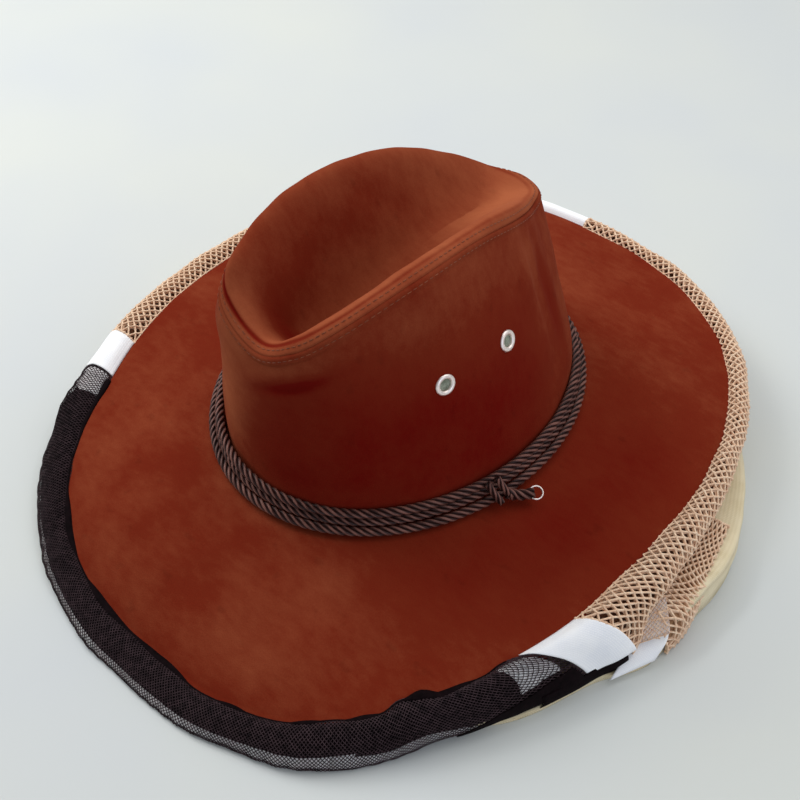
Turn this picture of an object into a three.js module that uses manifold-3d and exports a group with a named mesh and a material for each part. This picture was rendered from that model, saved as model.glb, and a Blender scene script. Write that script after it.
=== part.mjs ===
// Suede-cloth beekeeper hat with a teardrop crown, a twisted hat band, eyelets and a veil
// that is folded back under its brim. Millimetres, +Z up, front of the hat towards -Y.
// The origin is on the surface that the hat lies on, under the middle of its outline.
import * as THREE from 'three';
import { mergeVertices } from 'three/addons/utils/BufferGeometryUtils.js';
import Module from 'manifold-3d';

const wasm = await Module();
wasm.setup();

// Driving sizes
const BASE_HEIGHT = 48;
const HEAD_HALF_WIDTH = 87;
const HEAD_HALF_LENGTH = 106;
const BRIM_HALF_WIDTH = 165;
const BRIM_HALF_LENGTH = 199;
const BRIM_THICK = 2.2;
const BRIM_FALL_POWER = 1.7;
const CROWN_THICK = 2;
const WALL_BULGE = 1.6;
const SEAM_GAP = 0.3;
const FIT_GAP = 0.4;
const AROUND = 60;
const ROPE_RADIUS = 2.4;
const ROPE_SIDES = 6;
const ROPE_STEPS = 40;
const VEIL_THICK = 1.2;
const CLOTH_TUCK = 44;
const EYELET_FLANGE = 5.2;
const EYELET_HOLE = 2.7;
const EYELET_BARREL = 3.3;
const EYELET_HEIGHT = 78;
const EYELET_PLACES = [-43.5, -0.5];

// Seam between the side wall and the top panel, from the back over the wearer's right, the front
// and the left to the back again, and the height of the hollow's floor in line with it. Heights
// are above the crown's base. The first and last rows repeat the far side, so the back is smooth.
const CROWN_ROWS = [
  { turn: -200, x: 16.5, y: 93, seam: 92.5, crest: 94, hollow: 90 },
  { turn: -180, x: 0, y: 98.5, seam: 91.5, crest: 93, hollow: 90 },
  { turn: -160, x: -18, y: 93, seam: 89, crest: 94.5, hollow: 90 },
  { turn: -140, x: -31.5, y: 76, seam: 96.5, crest: 105, hollow: 91 },
  { turn: -115, x: -41, y: 43, seam: 113, crest: 121, hollow: 92 },
  { turn: -90, x: -45.5, y: 0.5, seam: 125, crest: 132.5, hollow: 88 },
  { turn: -66, x: -45, y: -45.5, seam: 127, crest: 136, hollow: 84 },
  { turn: -43, x: -36, y: -84.5, seam: 116.5, crest: 128, hollow: 82 },
  { turn: -25, x: -25, y: -98, seam: 108.5, crest: 115, hollow: 82 },
  { turn: 0, x: 0, y: -102, seam: 99.5, crest: 102.5, hollow: 83 },
  { turn: 25, x: 22.5, y: -98, seam: 110, crest: 113.5, hollow: 82 },
  { turn: 43, x: 36.5, y: -84.5, seam: 122, crest: 125, hollow: 82 },
  { turn: 66, x: 46.5, y: -45.5, seam: 131, crest: 133, hollow: 84 },
  { turn: 90, x: 46.5, y: 0.5, seam: 127.5, crest: 130, hollow: 88 },
  { turn: 115, x: 40, y: 43, seam: 113, crest: 118, hollow: 92 },
  { turn: 140, x: 26, y: 76, seam: 96.5, crest: 100.5, hollow: 91 },
  { turn: 160, x: 16.5, y: 93, seam: 92.5, crest: 94, hollow: 90 },
  { turn: 180, x: 0, y: 98.5, seam: 91.5, crest: 93, hollow: 90 },
  { turn: 200, x: -18, y: 93, seam: 89, crest: 94.5, hollow: 90 },
];

// Edge of the brim: its reach against the plain oval, its height above the crown's base,
// and how far the middle of the brim sags below the straight line to the edge.
const BRIM_ROWS = [
  { turn: -180, reach: 0.992, rise: -11, sag: 0 },
  { turn: -150, reach: 1.030, rise: -10.9, sag: 1 },
  { turn: -120, reach: 1.038, rise: -10.6, sag: 2 },
  { turn: -90, reach: 1.001, rise: -10.5, sag: 3 },
  { turn: -75, reach: 0.987, rise: -12.4, sag: 3 },
  { turn: -60, reach: 0.982, rise: -17.8, sag: 2 },
  { turn: -45, reach: 1.006, rise: -25, sag: 1 },
  { turn: -30, reach: 1.005, rise: -32.2, sag: 0 },
  { turn: -15, reach: 0.982, rise: -37.5, sag: 0 },
  { turn: 0, reach: 0.962, rise: -39.4, sag: 0 },
  { turn: 15, reach: 0.993, rise: -37.5, sag: 0 },
  { turn: 30, reach: 1.027, rise: -32.2, sag: 0 },
  { turn: 45, reach: 1.026, rise: -25, sag: 1 },
  { turn: 60, reach: 1.007, rise: -17.8, sag: 2 },
  { turn: 75, reach: 0.996, rise: -12.5, sag: 3 },
  { turn: 90, reach: 0.982, rise: -10.5, sag: 3 },
  { turn: 105, reach: 1.007, rise: -10.5, sag: 3 },
  { turn: 120, reach: 1.031, rise: -10.6, sag: 2 },
  { turn: 135, reach: 1.045, rise: -10.8, sag: 1 },
  { turn: 150, reach: 1.030, rise: -10.9, sag: 1 },
  { turn: 180, reach: 0.992, rise: -11, sag: 0 },
];

// Folded veil: how far the net stands out past the brim, the height of its foot, how far the
// cloth below it stands out past the brim, and how full that cloth lies (0 flat, 1 full).
const VEIL_ROWS = [
  { turn: -180, net: 12, low: 0, cloth: 2, puff: 1, slant: 0 },
  { turn: -150, net: 13, low: 0, cloth: 3, puff: 1, slant: 0 },
  { turn: -120, net: 16, low: 0, cloth: 5, puff: 1, slant: 0 },
  { turn: -90, net: 17, low: 0, cloth: 5, puff: 1, slant: 0 },
  { turn: -72, net: 16, low: 0, cloth: 0, puff: 1, slant: 0 },
  { turn: -63, net: 19, low: 0, cloth: -2, puff: 0, slant: 0 },
  { turn: -52, net: 26, low: 0, cloth: -2, puff: 0, slant: 0 },
  { turn: -42, net: 22, low: 0, cloth: -2, puff: 0, slant: 0 },
  { turn: -30, net: 19, low: 0, cloth: -2, puff: 0, slant: 0 },
  { turn: -15, net: 19, low: 0, cloth: -2, puff: 0, slant: 0 },
  { turn: 0, net: 20, low: 0, cloth: -2, puff: 0, slant: 0 },
  { turn: 15, net: 18, low: 0, cloth: -2, puff: 0, slant: 0 },
  { turn: 27, net: 17, low: 0, cloth: -2, puff: 0, slant: 0 },
  { turn: 35, net: 18.5, low: 0, cloth: -2, puff: 0, slant: 0 },
  { turn: 42, net: 16, low: 0, cloth: -2, puff: 0, slant: 0 },
  { turn: 50, net: 14.5, low: 3.7, cloth: -2, puff: 0, slant: 1 },
  { turn: 57, net: 15.5, low: 3.7, cloth: 18, puff: 0, slant: 5 },
  { turn: 64, net: 19, low: 3.7, cloth: 22, puff: 0, slant: 8 },
  { turn: 69, net: 17, low: 3.7, cloth: 26, puff: 0, slant: 8 },
  { turn: 74, net: 15, low: 3.7, cloth: 30, puff: 0, slant: 7 },
  { turn: 83, net: 16, low: 3.7, cloth: 33, puff: 1, slant: 4 },
  { turn: 102, net: 15, low: 0, cloth: 32, puff: 1, slant: 0 },
  { turn: 112, net: 13, low: 0, cloth: 24, puff: 1, slant: 0 },
  { turn: 125, net: 13, low: 0, cloth: 12, puff: 1, slant: 0 },
  { turn: 150, net: 13, low: 0, cloth: 3, puff: 1, slant: 0 },
  { turn: 180, net: 12, low: 0, cloth: 2, puff: 1, slant: 0 },
];
const SLANT_REACH = 28;

// Where the veil's panels and tapes meet along the brim, in degrees from the front
const TAPE_RIGHT_SPAN = [-71, -63];
const TAPE_LEFT_SPAN = [64, 74];
const TAPE_BACK_SPAN = [186, 202];
const PANEL_GAP = 0.12;

const suede = { color: 0x7a3a20, roughness: 0.92, metalness: 0 };
const ropeBrown = { color: 0x3a1d18, roughness: 0.55, metalness: 0 };
const blackNet = { color: 0x1b1216, roughness: 0.85, metalness: 0 };
const tanNet = { color: 0xd8ad86, roughness: 0.8, metalness: 0 };
const creamCloth = { color: 0xcfc6a0, roughness: 0.9, metalness: 0 };
const whiteTape = { color: 0xf2f4f8, roughness: 0.7, metalness: 0 };
const nickel = { color: 0xd9cfc8, roughness: 0.3, metalness: 0.9 };

const hat = new THREE.Group();

function addPiece(name, geometry, finish) {
  const mesh = new THREE.Mesh(geometry, new THREE.MeshStandardMaterial(finish));
  mesh.name = name;
  hat.add(mesh);
}

// Smooth value of one column of a table at a turn, through its neighbouring rows
function columnAt(rows, column, turn) {
  const last = rows.length - 1;
  const t = Math.min(Math.max(turn, rows[0].turn), rows[last].turn);
  let i = 0;
  while (i < last - 1 && t > rows[i + 1].turn) i += 1;
  const span = rows[i + 1].turn - rows[i].turn;
  const f = (t - rows[i].turn) / span;
  const slope = (k) => {
    const a = Math.max(k - 1, 0);
    const b = Math.min(k + 1, last);
    return k === 0 || k === last ? 0 : (rows[b][column] - rows[a][column]) / (rows[b].turn - rows[a].turn);
  };
  const h00 = 2 * f ** 3 - 3 * f ** 2 + 1;
  const h10 = f ** 3 - 2 * f ** 2 + f;
  const h01 = 3 * f ** 2 - 2 * f ** 3;
  const h11 = f ** 3 - f ** 2;
  const level = h00 * rows[i][column] + h01 * rows[i + 1][column];
  return level + span * (h10 * slope(i) + h11 * slope(i + 1));
}

function wrapTurn(turn) {
  return ((turn + 180) % 360 + 360) % 360 - 180;
}

const radians = THREE.MathUtils.degToRad;

// Closed solid from a grid of outer points and a grid of inner points. The grid closes round
// on itself if ring is true. open(row, column) cuts a gap through that cell.
function wallSolid(outer, inner, { ring, open = () => false }) {
  const rows = outer.length;
  const columns = outer[0].length;
  const positions = [];
  const put = (a, b, c) => positions.push(a.x, a.y, a.z, b.x, b.y, b.z, c.x, c.y, c.z);
  const quad = (a, b, c, d) => {
    put(a, b, c);
    put(a, c, d);
  };
  const lastColumn = ring ? columns : columns - 1;
  const isOpen = (r, c) => {
    if (r < 0 || r >= rows - 1) return true;
    if (!ring && (c < 0 || c >= columns - 1)) return true;
    return open(r, (c + columns) % columns);
  };
  for (let r = 0; r < rows - 1; r += 1) {
    for (let c = 0; c < lastColumn; c += 1) {
      if (isOpen(r, c)) continue;
      const n = (c + 1) % columns;
      quad(outer[r][c], outer[r][n], outer[r + 1][n], outer[r + 1][c]);
      quad(inner[r][c], inner[r + 1][c], inner[r + 1][n], inner[r][n]);
      if (isOpen(r - 1, c)) quad(inner[r][c], inner[r][n], outer[r][n], outer[r][c]);
      if (isOpen(r + 1, c)) quad(outer[r + 1][c], outer[r + 1][n], inner[r + 1][n], inner[r + 1][c]);
      if (isOpen(r, c - 1)) quad(outer[r][c], outer[r + 1][c], inner[r + 1][c], inner[r][c]);
      if (isOpen(r, c + 1)) quad(inner[r][n], inner[r + 1][n], outer[r + 1][n], outer[r][n]);
    }
  }
  const geometry = new THREE.BufferGeometry();
  geometry.setAttribute('position', new THREE.Float32BufferAttribute(positions, 3));
  return geometry;
}

// Crown surface: rows run from the base up the wall, over the crest and into the hollow
const WALL_LEVELS = [0, 0.16, 0.36, 0.56, 0.76, 0.9];
const HOLLOW_LEVELS = [0.95, 0.88, 0.77, 0.62, 0.42, 0.2];
const CREST_LEVEL = 0.88;
const SPINE_SHARE = 0.62;
const HOLLOW_BIAS = 1.15;

function seamPoint(turn) {
  const row = (column) => columnAt(CROWN_ROWS, column, wrapTurn(turn));
  return { x: row('x'), y: row('y'), seam: row('seam'), crest: row('crest'), hollow: row('hollow') };
}

function wallPoint(turn, level) {
  const a = radians(turn);
  const s = seamPoint(turn);
  const lean = level ** WALL_BULGE;
  const x = HEAD_HALF_WIDTH * Math.sin(a) * (1 - lean) + s.x * lean;
  const y = -HEAD_HALF_LENGTH * Math.cos(a) * (1 - lean) + s.y * lean;
  return new THREE.Vector3(x, y, BASE_HEIGHT + s.seam * level);
}

function topPoint(turn, level) {
  const s = seamPoint(turn);
  const spineY = s.y * SPINE_SHARE;
  const x = s.x * level;
  const y = spineY + (s.y - spineY) * level;
  const rim = Math.min(1, (1 - level) / (1 - CREST_LEVEL));
  const dip = Math.min(1, level / CREST_LEVEL) ** HOLLOW_BIAS;
  const overCrest = s.seam + (s.crest - s.seam) * Math.sin(rim * Math.PI / 2);
  const inHollow = s.hollow + (s.crest - s.hollow) * (0.5 - 0.5 * Math.cos(Math.PI * dip));
  const z = level >= CREST_LEVEL ? overCrest : inHollow;
  return new THREE.Vector3(x, y, BASE_HEIGHT + z);
}

function crownGrid() {
  const turns = Array.from({ length: AROUND }, (_, k) => (360 * k) / AROUND);
  const rows = WALL_LEVELS.map((level) => turns.map((turn) => wallPoint(turn, level)));
  rows.push(turns.map((turn) => wallPoint(turn, 1)));
  const seamRow = rows.length - 1;
  for (const level of HOLLOW_LEVELS) rows.push(turns.map((turn) => topPoint(turn, level)));
  const normals = rows.map((row, r) => row.map((point, c) => {
    const up = rows[Math.min(r + 1, rows.length - 1)][c].clone().sub(rows[Math.max(r - 1, 0)][c]);
    const along = row[(c + 1) % AROUND].clone().sub(row[(c + AROUND - 1) % AROUND]);
    return along.cross(up).normalize();
  }));
  return { rows, normals, seamRow };
}

function shrinkAlong(grid, normals, thick) {
  return grid.map((row, r) => row.map((point, c) => point.clone().addScaledVector(normals[r][c], -thick)));
}

function moved(rowA, rowB, distance) {
  const step = (point, towards) => towards.clone().sub(point).setLength(distance);
  return rowA.map((point, c) => point.clone().add(step(point, rowB[c])));
}

function toManifold(geometry) {
  const bare = geometry.clone();
  bare.deleteAttribute('normal');
  bare.deleteAttribute('uv');
  const merged = mergeVertices(bare, 1e-3);
  const mesh = new wasm.Mesh({
    numProp: 3,
    vertProperties: new Float32Array(merged.attributes.position.array),
    triVerts: new Uint32Array(merged.index.array),
  });
  return new wasm.Manifold(mesh);
}

function fromManifold(solid) {
  const mesh = solid.getMesh();
  const geometry = new THREE.BufferGeometry();
  geometry.setAttribute('position', new THREE.Float32BufferAttribute(Array.from(mesh.vertProperties), 3));
  geometry.setIndex(Array.from(mesh.triVerts));
  return geometry.toNonIndexed();
}

// Eyelet seats on the side wall, found from the wall's own surface by halving the turn
const HALVINGS = 40;

function eyeletSeat(side, y) {
  const level = (turn) => EYELET_HEIGHT / seamPoint(turn).seam;
  let low = 0;
  let high = 180;
  for (let k = 0; k < HALVINGS; k += 1) {
    const mid = (low + high) / 2;
    if (wallPoint(mid, level(mid)).y < y) low = mid;
    else high = mid;
  }
  const turn = side * low;
  const here = wallPoint(turn, level(turn));
  const along = wallPoint(turn + 1, level(turn)).sub(wallPoint(turn - 1, level(turn)));
  const up = wallPoint(turn, level(turn) + 0.02).sub(wallPoint(turn, level(turn) - 0.02));
  return { here, outward: along.cross(up).normalize() };
}

function placedOnSeat(geometry, seat) {
  const turnTo = new THREE.Quaternion().setFromUnitVectors(new THREE.Vector3(0, 1, 0), seat.outward);
  return geometry.clone().applyQuaternion(turnTo).translate(seat.here.x, seat.here.y, seat.here.z);
}

const EYELET_SIDES = 12;
const EYELET_RISE = 0.5;
const EYELET_LIP = 0.9;
const EYELET_BEVEL = 0.5;
const EYELET_WASHER = 4.8;
const EYELET_BORE_LENGTH = 12;

function eyeletGeometry() {
  const top = EYELET_RISE;
  const under = -CROWN_THICK - EYELET_RISE;
  const profile = [
    [EYELET_HOLE, under - EYELET_LIP],
    [EYELET_WASHER, under - EYELET_LIP],
    [EYELET_WASHER, under],
    [EYELET_BARREL, under],
    [EYELET_BARREL, top],
    [EYELET_FLANGE, top],
    [EYELET_FLANGE - EYELET_BEVEL, top + EYELET_LIP],
    [EYELET_HOLE, top + EYELET_LIP],
    [EYELET_HOLE, under - EYELET_LIP],
  ];
  return new THREE.LatheGeometry(profile.map(([r, h]) => new THREE.Vector2(r, h)), EYELET_SIDES);
}

const eyeletSeats = [];
for (const [sideName, side] of [['left', 1], ['right', -1]]) {
  EYELET_PLACES.forEach((y, k) => {
    eyeletSeats.push({ name: `eyelet_${sideName}_${k === 0 ? 'front' : 'rear'}`, ...eyeletSeat(side, y) });
  });
}

function addCrown() {
  const { rows, normals, seamRow } = crownGrid();
  const sideRows = rows.slice(0, seamRow + 1);
  sideRows[seamRow] = moved(rows[seamRow], rows[seamRow - 1], SEAM_GAP / 2);
  const sideInner = shrinkAlong(sideRows, normals.slice(0, seamRow + 1), CROWN_THICK);
  const drop = (grid) => grid[0].forEach((point) => { point.z = BASE_HEIGHT - BRIM_THICK; });
  drop(sideRows);
  drop(sideInner);
  let wall = toManifold(wallSolid(sideRows, sideInner, { ring: true }));
  const boreRadius = EYELET_BARREL + FIT_GAP;
  const bore = new THREE.CylinderGeometry(boreRadius, boreRadius, EYELET_BORE_LENGTH, EYELET_SIDES);
  for (const seat of eyeletSeats) wall = wall.subtract(toManifold(placedOnSeat(bore, seat)));
  addPiece('crown_side', fromManifold(wall), suede);

  const topRows = rows.slice(seamRow);
  topRows[0] = moved(rows[seamRow], rows[seamRow + 1], SEAM_GAP / 2);
  const topInner = shrinkAlong(topRows, normals.slice(seamRow), CROWN_THICK);
  const centre = (row) => {
    const sum = row.reduce((total, point) => total.add(point), new THREE.Vector3());
    return row.map(() => sum.clone().divideScalar(row.length));
  };
  const capped = (grid) => [...grid, centre(grid[grid.length - 1])];
  addPiece('crown_top', cleanSolid(wallSolid(capped(topRows), capped(topInner), { ring: true })), suede);
}

// Drops triangles that have shrunk to nothing at the middle of the hollow
const NOTHING = 1e-4;

function cleanSolid(geometry) {
  const p = geometry.attributes.position;
  const kept = [];
  const corner = (k) => new THREE.Vector3().fromBufferAttribute(p, k);
  for (let k = 0; k < p.count; k += 3) {
    const [a, b, c] = [corner(k), corner(k + 1), corner(k + 2)];
    if (Math.min(a.distanceTo(b), b.distanceTo(c), c.distanceTo(a)) < NOTHING) continue;
    kept.push(...a.toArray(), ...b.toArray(), ...c.toArray());
  }
  const clean = new THREE.BufferGeometry();
  clean.setAttribute('position', new THREE.Float32BufferAttribute(kept, 3));
  return clean;
}

// Brim: its inner edge fits round the crown, and its outer edge follows the table
const BRIM_CLEARANCE = 0.5;

function brimEdge(turn) {
  const t = wrapTurn(turn);
  const a = radians(t);
  const reach = columnAt(BRIM_ROWS, 'reach', t);
  const x = BRIM_HALF_WIDTH * reach * Math.sin(a);
  const y = -BRIM_HALF_LENGTH * reach * Math.cos(a);
  return new THREE.Vector3(x, y, BASE_HEIGHT + columnAt(BRIM_ROWS, 'rise', t));
}

function brimPoint(turn, share) {
  const a = radians(turn);
  const inner = new THREE.Vector3(
    (HEAD_HALF_WIDTH + BRIM_CLEARANCE) * Math.sin(a),
    -(HEAD_HALF_LENGTH + BRIM_CLEARANCE) * Math.cos(a),
    BASE_HEIGHT,
  );
  const edge = brimEdge(turn);
  const sag = columnAt(BRIM_ROWS, 'sag', wrapTurn(turn)) * Math.sin(Math.PI * share);
  const point = inner.clone().lerp(edge, share);
  point.z = BASE_HEIGHT + (edge.z - BASE_HEIGHT) * share ** BRIM_FALL_POWER - sag;
  return point;
}

const BRIM_SHARES = [0, 0.28, 0.55, 0.8, 1];

function addBrim() {
  const turns = Array.from({ length: AROUND }, (_, k) => (360 * k) / AROUND);
  const upper = BRIM_SHARES.map((share) => turns.map((turn) => brimPoint(turn, share)));
  const lower = upper.map((row) => row.map((point) => point.clone().setZ(point.z - BRIM_THICK)));
  addPiece('brim', wallSolid([...upper].reverse(), [...lower].reverse(), { ring: true }), suede);
}

// Hat band: three turns of twisted cord lying at the foot of the crown, its knot and its tail
const BAND_ROWS = [
  { name: 'band_cord_low', out: 6.8, up: 3.1 },
  { name: 'band_cord_middle', out: 3.4, up: 7.1 },
  { name: 'band_cord_high', out: 2.9, up: 12.3 },
];
const KNOT_SPOTS = [
  { turn: 73.5, out: 6.4, up: 15.6 },
  { turn: 74.2, out: 8.6, up: 11.2 },
  { turn: 75, out: 10.3, up: 7.6 },
  { turn: 75.8, out: 12.2, up: 3.9 },
];
const TAIL_SPOTS = [
  { turn: 78.2, out: 12.2, up: 4.2 },
  { turn: 80.4, out: 14.6, up: 2.9 },
  { turn: 82.8, out: 17.2, up: 2.5 },
];
const KNOT_RADIUS = 2.1;
const KNOT_STEPS = 6;
const TAIL_RADIUS = 2.5;
const TAIL_SIDES = 8;
const TAIL_STEPS = 5;
const RING_RADIUS = 3.7;
const RING_WIRE = 0.7;
const RING_WIRE_SIDES = 6;
const RING_AROUND = 14;
const TANGENT_STEP = 0.002;

// A spot near the foot of the crown, out from the wall and up from the crown's base
function bandSpot({ turn, out, up }) {
  const a = radians(turn);
  const outward = new THREE.Vector3(Math.sin(a) / HEAD_HALF_WIDTH, -Math.cos(a) / HEAD_HALF_LENGTH, 0);
  return wallPoint(turn, up / seamPoint(turn).seam).addScaledVector(outward.normalize(), out);
}

class RingPath extends THREE.Curve {
  constructor(row) {
    super();
    this.row = row;
  }

  getPoint(t, target = new THREE.Vector3()) {
    return target.copy(bandSpot({ ...this.row, turn: 360 * t }));
  }
}

function tubeRing(path, radius, steps) {
  const rows = [];
  for (let side = 0; side <= ROPE_SIDES; side += 1) {
    const around = (2 * Math.PI * side) / ROPE_SIDES;
    rows.push(Array.from({ length: steps }, (_, k) => {
      const t = k / steps;
      const centre = path.getPoint(t);
      const ahead = path.getPoint((t + TANGENT_STEP) % 1);
      const tangent = ahead.sub(path.getPoint((t + 1 - TANGENT_STEP) % 1)).normalize();
      const out = new THREE.Vector3().crossVectors(tangent, new THREE.Vector3(0, 0, 1)).normalize();
      centre.z += radius * Math.sin(around);
      return centre.addScaledVector(out, radius * Math.cos(around));
    }));
  }
  const positions = [];
  for (let s = 0; s < ROPE_SIDES; s += 1) {
    for (let k = 0; k < steps; k += 1) {
      const n = (k + 1) % steps;
      const [here, next] = [rows[s], rows[s + 1]];
      const [a, b, c, d] = [here[k], here[n], next[n], next[k]];
      for (const point of [a, b, c, a, c, d]) positions.push(point.x, point.y, point.z);
    }
  }
  const geometry = new THREE.BufferGeometry();
  geometry.setAttribute('position', new THREE.Float32BufferAttribute(positions, 3));
  return geometry;
}

function tubeAlong(spots, radius, sides, steps) {
  const path = new THREE.CatmullRomCurve3(spots.map(bandSpot));
  const corners = Array.from({ length: sides }, (_, k) => {
    const a = (2 * Math.PI * k) / sides;
    return new THREE.Vector2(radius * Math.cos(a), radius * Math.sin(a));
  });
  const shape = new THREE.Shape(corners);
  return new THREE.ExtrudeGeometry(shape, { steps, bevelEnabled: false, extrudePath: path });
}

function tailRing() {
  const [before, end] = TAIL_SPOTS.slice(-2).map(bandSpot);
  const along = end.clone().sub(before).normalize();
  const facing = new THREE.Quaternion().setFromUnitVectors(new THREE.Vector3(0, 0, 1), along);
  const centre = end.clone().addScaledVector(along, -RING_WIRE * 2);
  const ring = new THREE.TorusGeometry(RING_RADIUS, RING_WIRE, RING_WIRE_SIDES, RING_AROUND);
  return ring.applyQuaternion(facing).translate(centre.x, centre.y, centre.z);
}

function addBand() {
  for (const row of BAND_ROWS) {
    addPiece(row.name, tubeRing(new RingPath(row), ROPE_RADIUS, ROPE_STEPS), ropeBrown);
  }
  addPiece('band_knot', tubeAlong(KNOT_SPOTS, KNOT_RADIUS, ROPE_SIDES, KNOT_STEPS), ropeBrown);
  addPiece('band_tail', tubeAlong(TAIL_SPOTS, TAIL_RADIUS, TAIL_SIDES, TAIL_STEPS), ropeBrown);
  addPiece('tail_ring', tailRing(), nickel);
}

function addEyelets() {
  for (const seat of eyeletSeats) addPiece(seat.name, placedOnSeat(eyeletGeometry(), seat), nickel);
}

// Veil: walls swept along the brim's edge. A section is a line of points, each with its
// distance out past the edge and its height.
const ROLL_DEPTH = 14.5;
const ROLL_TUCK = -8;
const FLAT_CLOTH = 3.2;
const CLOTH_BEND = 6;
const BEND_CORNER = 0.3;
const SLANT_MOST = 1.2;
const HEM_DROP = 0.9;
const FOOT_WIDTH = 8;
const FOOT_BEND = 1.6;

// Front net between the brim's edge and its foot: share of its reach, share of the way up
// from the foot to the brim, and how far it is puffed above that
const FRONT_NET_POINTS = [
  { out: 0.3, up: 1, puffed: 1.2 },
  { out: 0.65, up: 0.86, puffed: 0 },
  { out: 0.9, up: 0.5, puffed: 0 },
  { out: 1, up: 0.2, puffed: 0 },
];

// Rolled net between the brim's edge and its tuck: share of its reach, height above the edge
const ROLLED_NET_POINTS = [
  { out: 0.35, rise: 2.4 },
  { out: 0.75, rise: 1.2 },
  { out: 1, rise: -4.5 },
  { out: 0.85, rise: -10 },
];
const ROLL_UNDER_SHARE = 0.4;

function edgeFrame(turn) {
  const here = brimEdge(turn);
  const along = brimEdge(turn + 0.5).sub(brimEdge(turn - 0.5)).setZ(0).normalize();
  return { here, out: new THREE.Vector3(along.y, -along.x, 0) };
}

function thickened(section, thick) {
  const left = [];
  const right = [];
  section.forEach(([u, z], k) => {
    const [u0, z0] = section[Math.max(k - 1, 0)];
    const [u1, z1] = section[Math.min(k + 1, section.length - 1)];
    const length = Math.hypot(u1 - u0, z1 - z0);
    const nu = -(z1 - z0) / length;
    const nz = (u1 - u0) / length;
    left.push([u + (nu * thick) / 2, z + (nz * thick) / 2]);
    right.push([u - (nu * thick) / 2, z - (nz * thick) / 2]);
  });
  return { left, right };
}

function sweptWall(turns, sectionAt, { ring = false, open } = {}) {
  const sections = turns.map((turn) => ({ turn, ...thickened(sectionAt(turn), VEIL_THICK) }));
  const lay = (turn, [u, z]) => {
    const slanted = turn + veilAt('slant', turn) * THREE.MathUtils.clamp(u / SLANT_REACH, 0, SLANT_MOST);
    const { here, out } = edgeFrame(slanted);
    return here.addScaledVector(out, u).setZ(Math.max(z, 0));
  };
  const rowOf = (side, r) => sections.map((cut) => lay(cut.turn, cut[side][r]));
  const rowsOf = (side) => sections[0][side].map((_, r) => rowOf(side, r));
  return wallSolid(rowsOf('right'), rowsOf('left'), { ring, open });
}

function veilAt(column, turn) {
  return columnAt(VEIL_ROWS, column, wrapTurn(turn));
}

function clothTop(turn) {
  const rolled = brimEdge(turn).z - ROLL_DEPTH - VEIL_THICK - FIT_GAP;
  const puff = THREE.MathUtils.clamp(veilAt('puff', turn), 0, 1);
  return FLAT_CLOTH + (rolled - FLAT_CLOTH) * puff;
}

function clothSection(turn) {
  const half = VEIL_THICK / 2;
  const top = clothTop(turn) - half;
  const reach = veilAt('cloth', turn) - half;
  const bend = Math.min((top - half) / 2, CLOTH_BEND);
  const corner = bend * BEND_CORNER;
  return [
    [-CLOTH_TUCK, half],
    [reach - bend, half],
    [reach - corner, half + corner],
    [reach, half + bend],
    [reach, top - bend],
    [reach - corner, top - corner],
    [reach - bend, top],
    [-CLOTH_TUCK, top],
  ];
}

function frontNetSection(turn, fullReach = veilAt('net', turn)) {
  const edge = brimEdge(turn).z;
  const reach = fullReach - VEIL_THICK / 2;
  const low = veilAt('low', turn) + VEIL_THICK / 2;
  const clear = FIT_GAP + VEIL_THICK / 2;
  const onCloth = low > VEIL_THICK;
  const foot = onCloth ? reach - FOOT_WIDTH : Math.min(veilAt('cloth', turn) + FIT_GAP, reach - FOOT_WIDTH);
  const rise = edge - low;
  const spread = FRONT_NET_POINTS.map(({ out, up, puffed }) => [reach * out, low + rise * up + puffed]);
  return [[clear, edge - HEM_DROP], ...spread, [reach - FOOT_BEND, low], [foot, low]];
}

function rolledNetSection(turn) {
  const edge = brimEdge(turn).z;
  const reach = veilAt('net', turn) - VEIL_THICK / 2;
  const clear = FIT_GAP + VEIL_THICK / 2;
  const under = edge - ROLL_DEPTH + VEIL_THICK / 2;
  const round = ROLLED_NET_POINTS.map(({ out, rise }) => [reach * out, edge + rise]);
  return [[clear, edge - HEM_DROP], ...round, [reach * ROLL_UNDER_SHARE, under], [ROLL_TUCK, under]];
}

// The left tape spreads as it crosses the brim's edge towards the floor
const TAPE_LEFT_REACH = [19, 29];

function leftTapeSection(turn) {
  const share = (turn - TAPE_LEFT_SPAN[0]) / (TAPE_LEFT_SPAN[1] - TAPE_LEFT_SPAN[0]);
  return frontNetSection(turn, THREE.MathUtils.lerp(...TAPE_LEFT_REACH, share));
}

// Lower fold of the left net, lying over the full part of the cloth
const FOLD_SPAN = [79, 101.5];
const FOLD_TUCK = 11;
const FOLD_LIFT_START = 84;
const FOLD_LEAST_DROP = 2;

function lowerFoldSection(turn) {
  const [, , , low, high, shoulder, top] = clothSection(turn);
  const lift = THREE.MathUtils.smoothstep(turn, FOLD_LIFT_START, FOLD_SPAN[1]);
  const foot = THREE.MathUtils.lerp(VEIL_THICK, high[1] - FOLD_LEAST_DROP, lift);
  const drape = [[FOLD_TUCK, top[1]], top, shoulder, high, [low[0], foot]];
  return thickened(drape, 2 * (VEIL_THICK + FIT_GAP)).left;
}

// Turn steps along each swept piece, in degrees
const TAPE_STEP = 5;
const BACK_TAPE_STEP = 4;
const FRONT_NET_STEP = 5;
const ROLLED_NET_STEP = 3.7;
const FOLD_STEP = 4.5;
const CLOTH_STEP = 8;
const PIERCED_ROWS = [1, 3];

function turnsBetween(start, end, step) {
  const count = Math.max(1, Math.round((end - start) / step));
  return Array.from({ length: count + 1 }, (_, k) => start + ((end - start) * k) / count);
}

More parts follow.
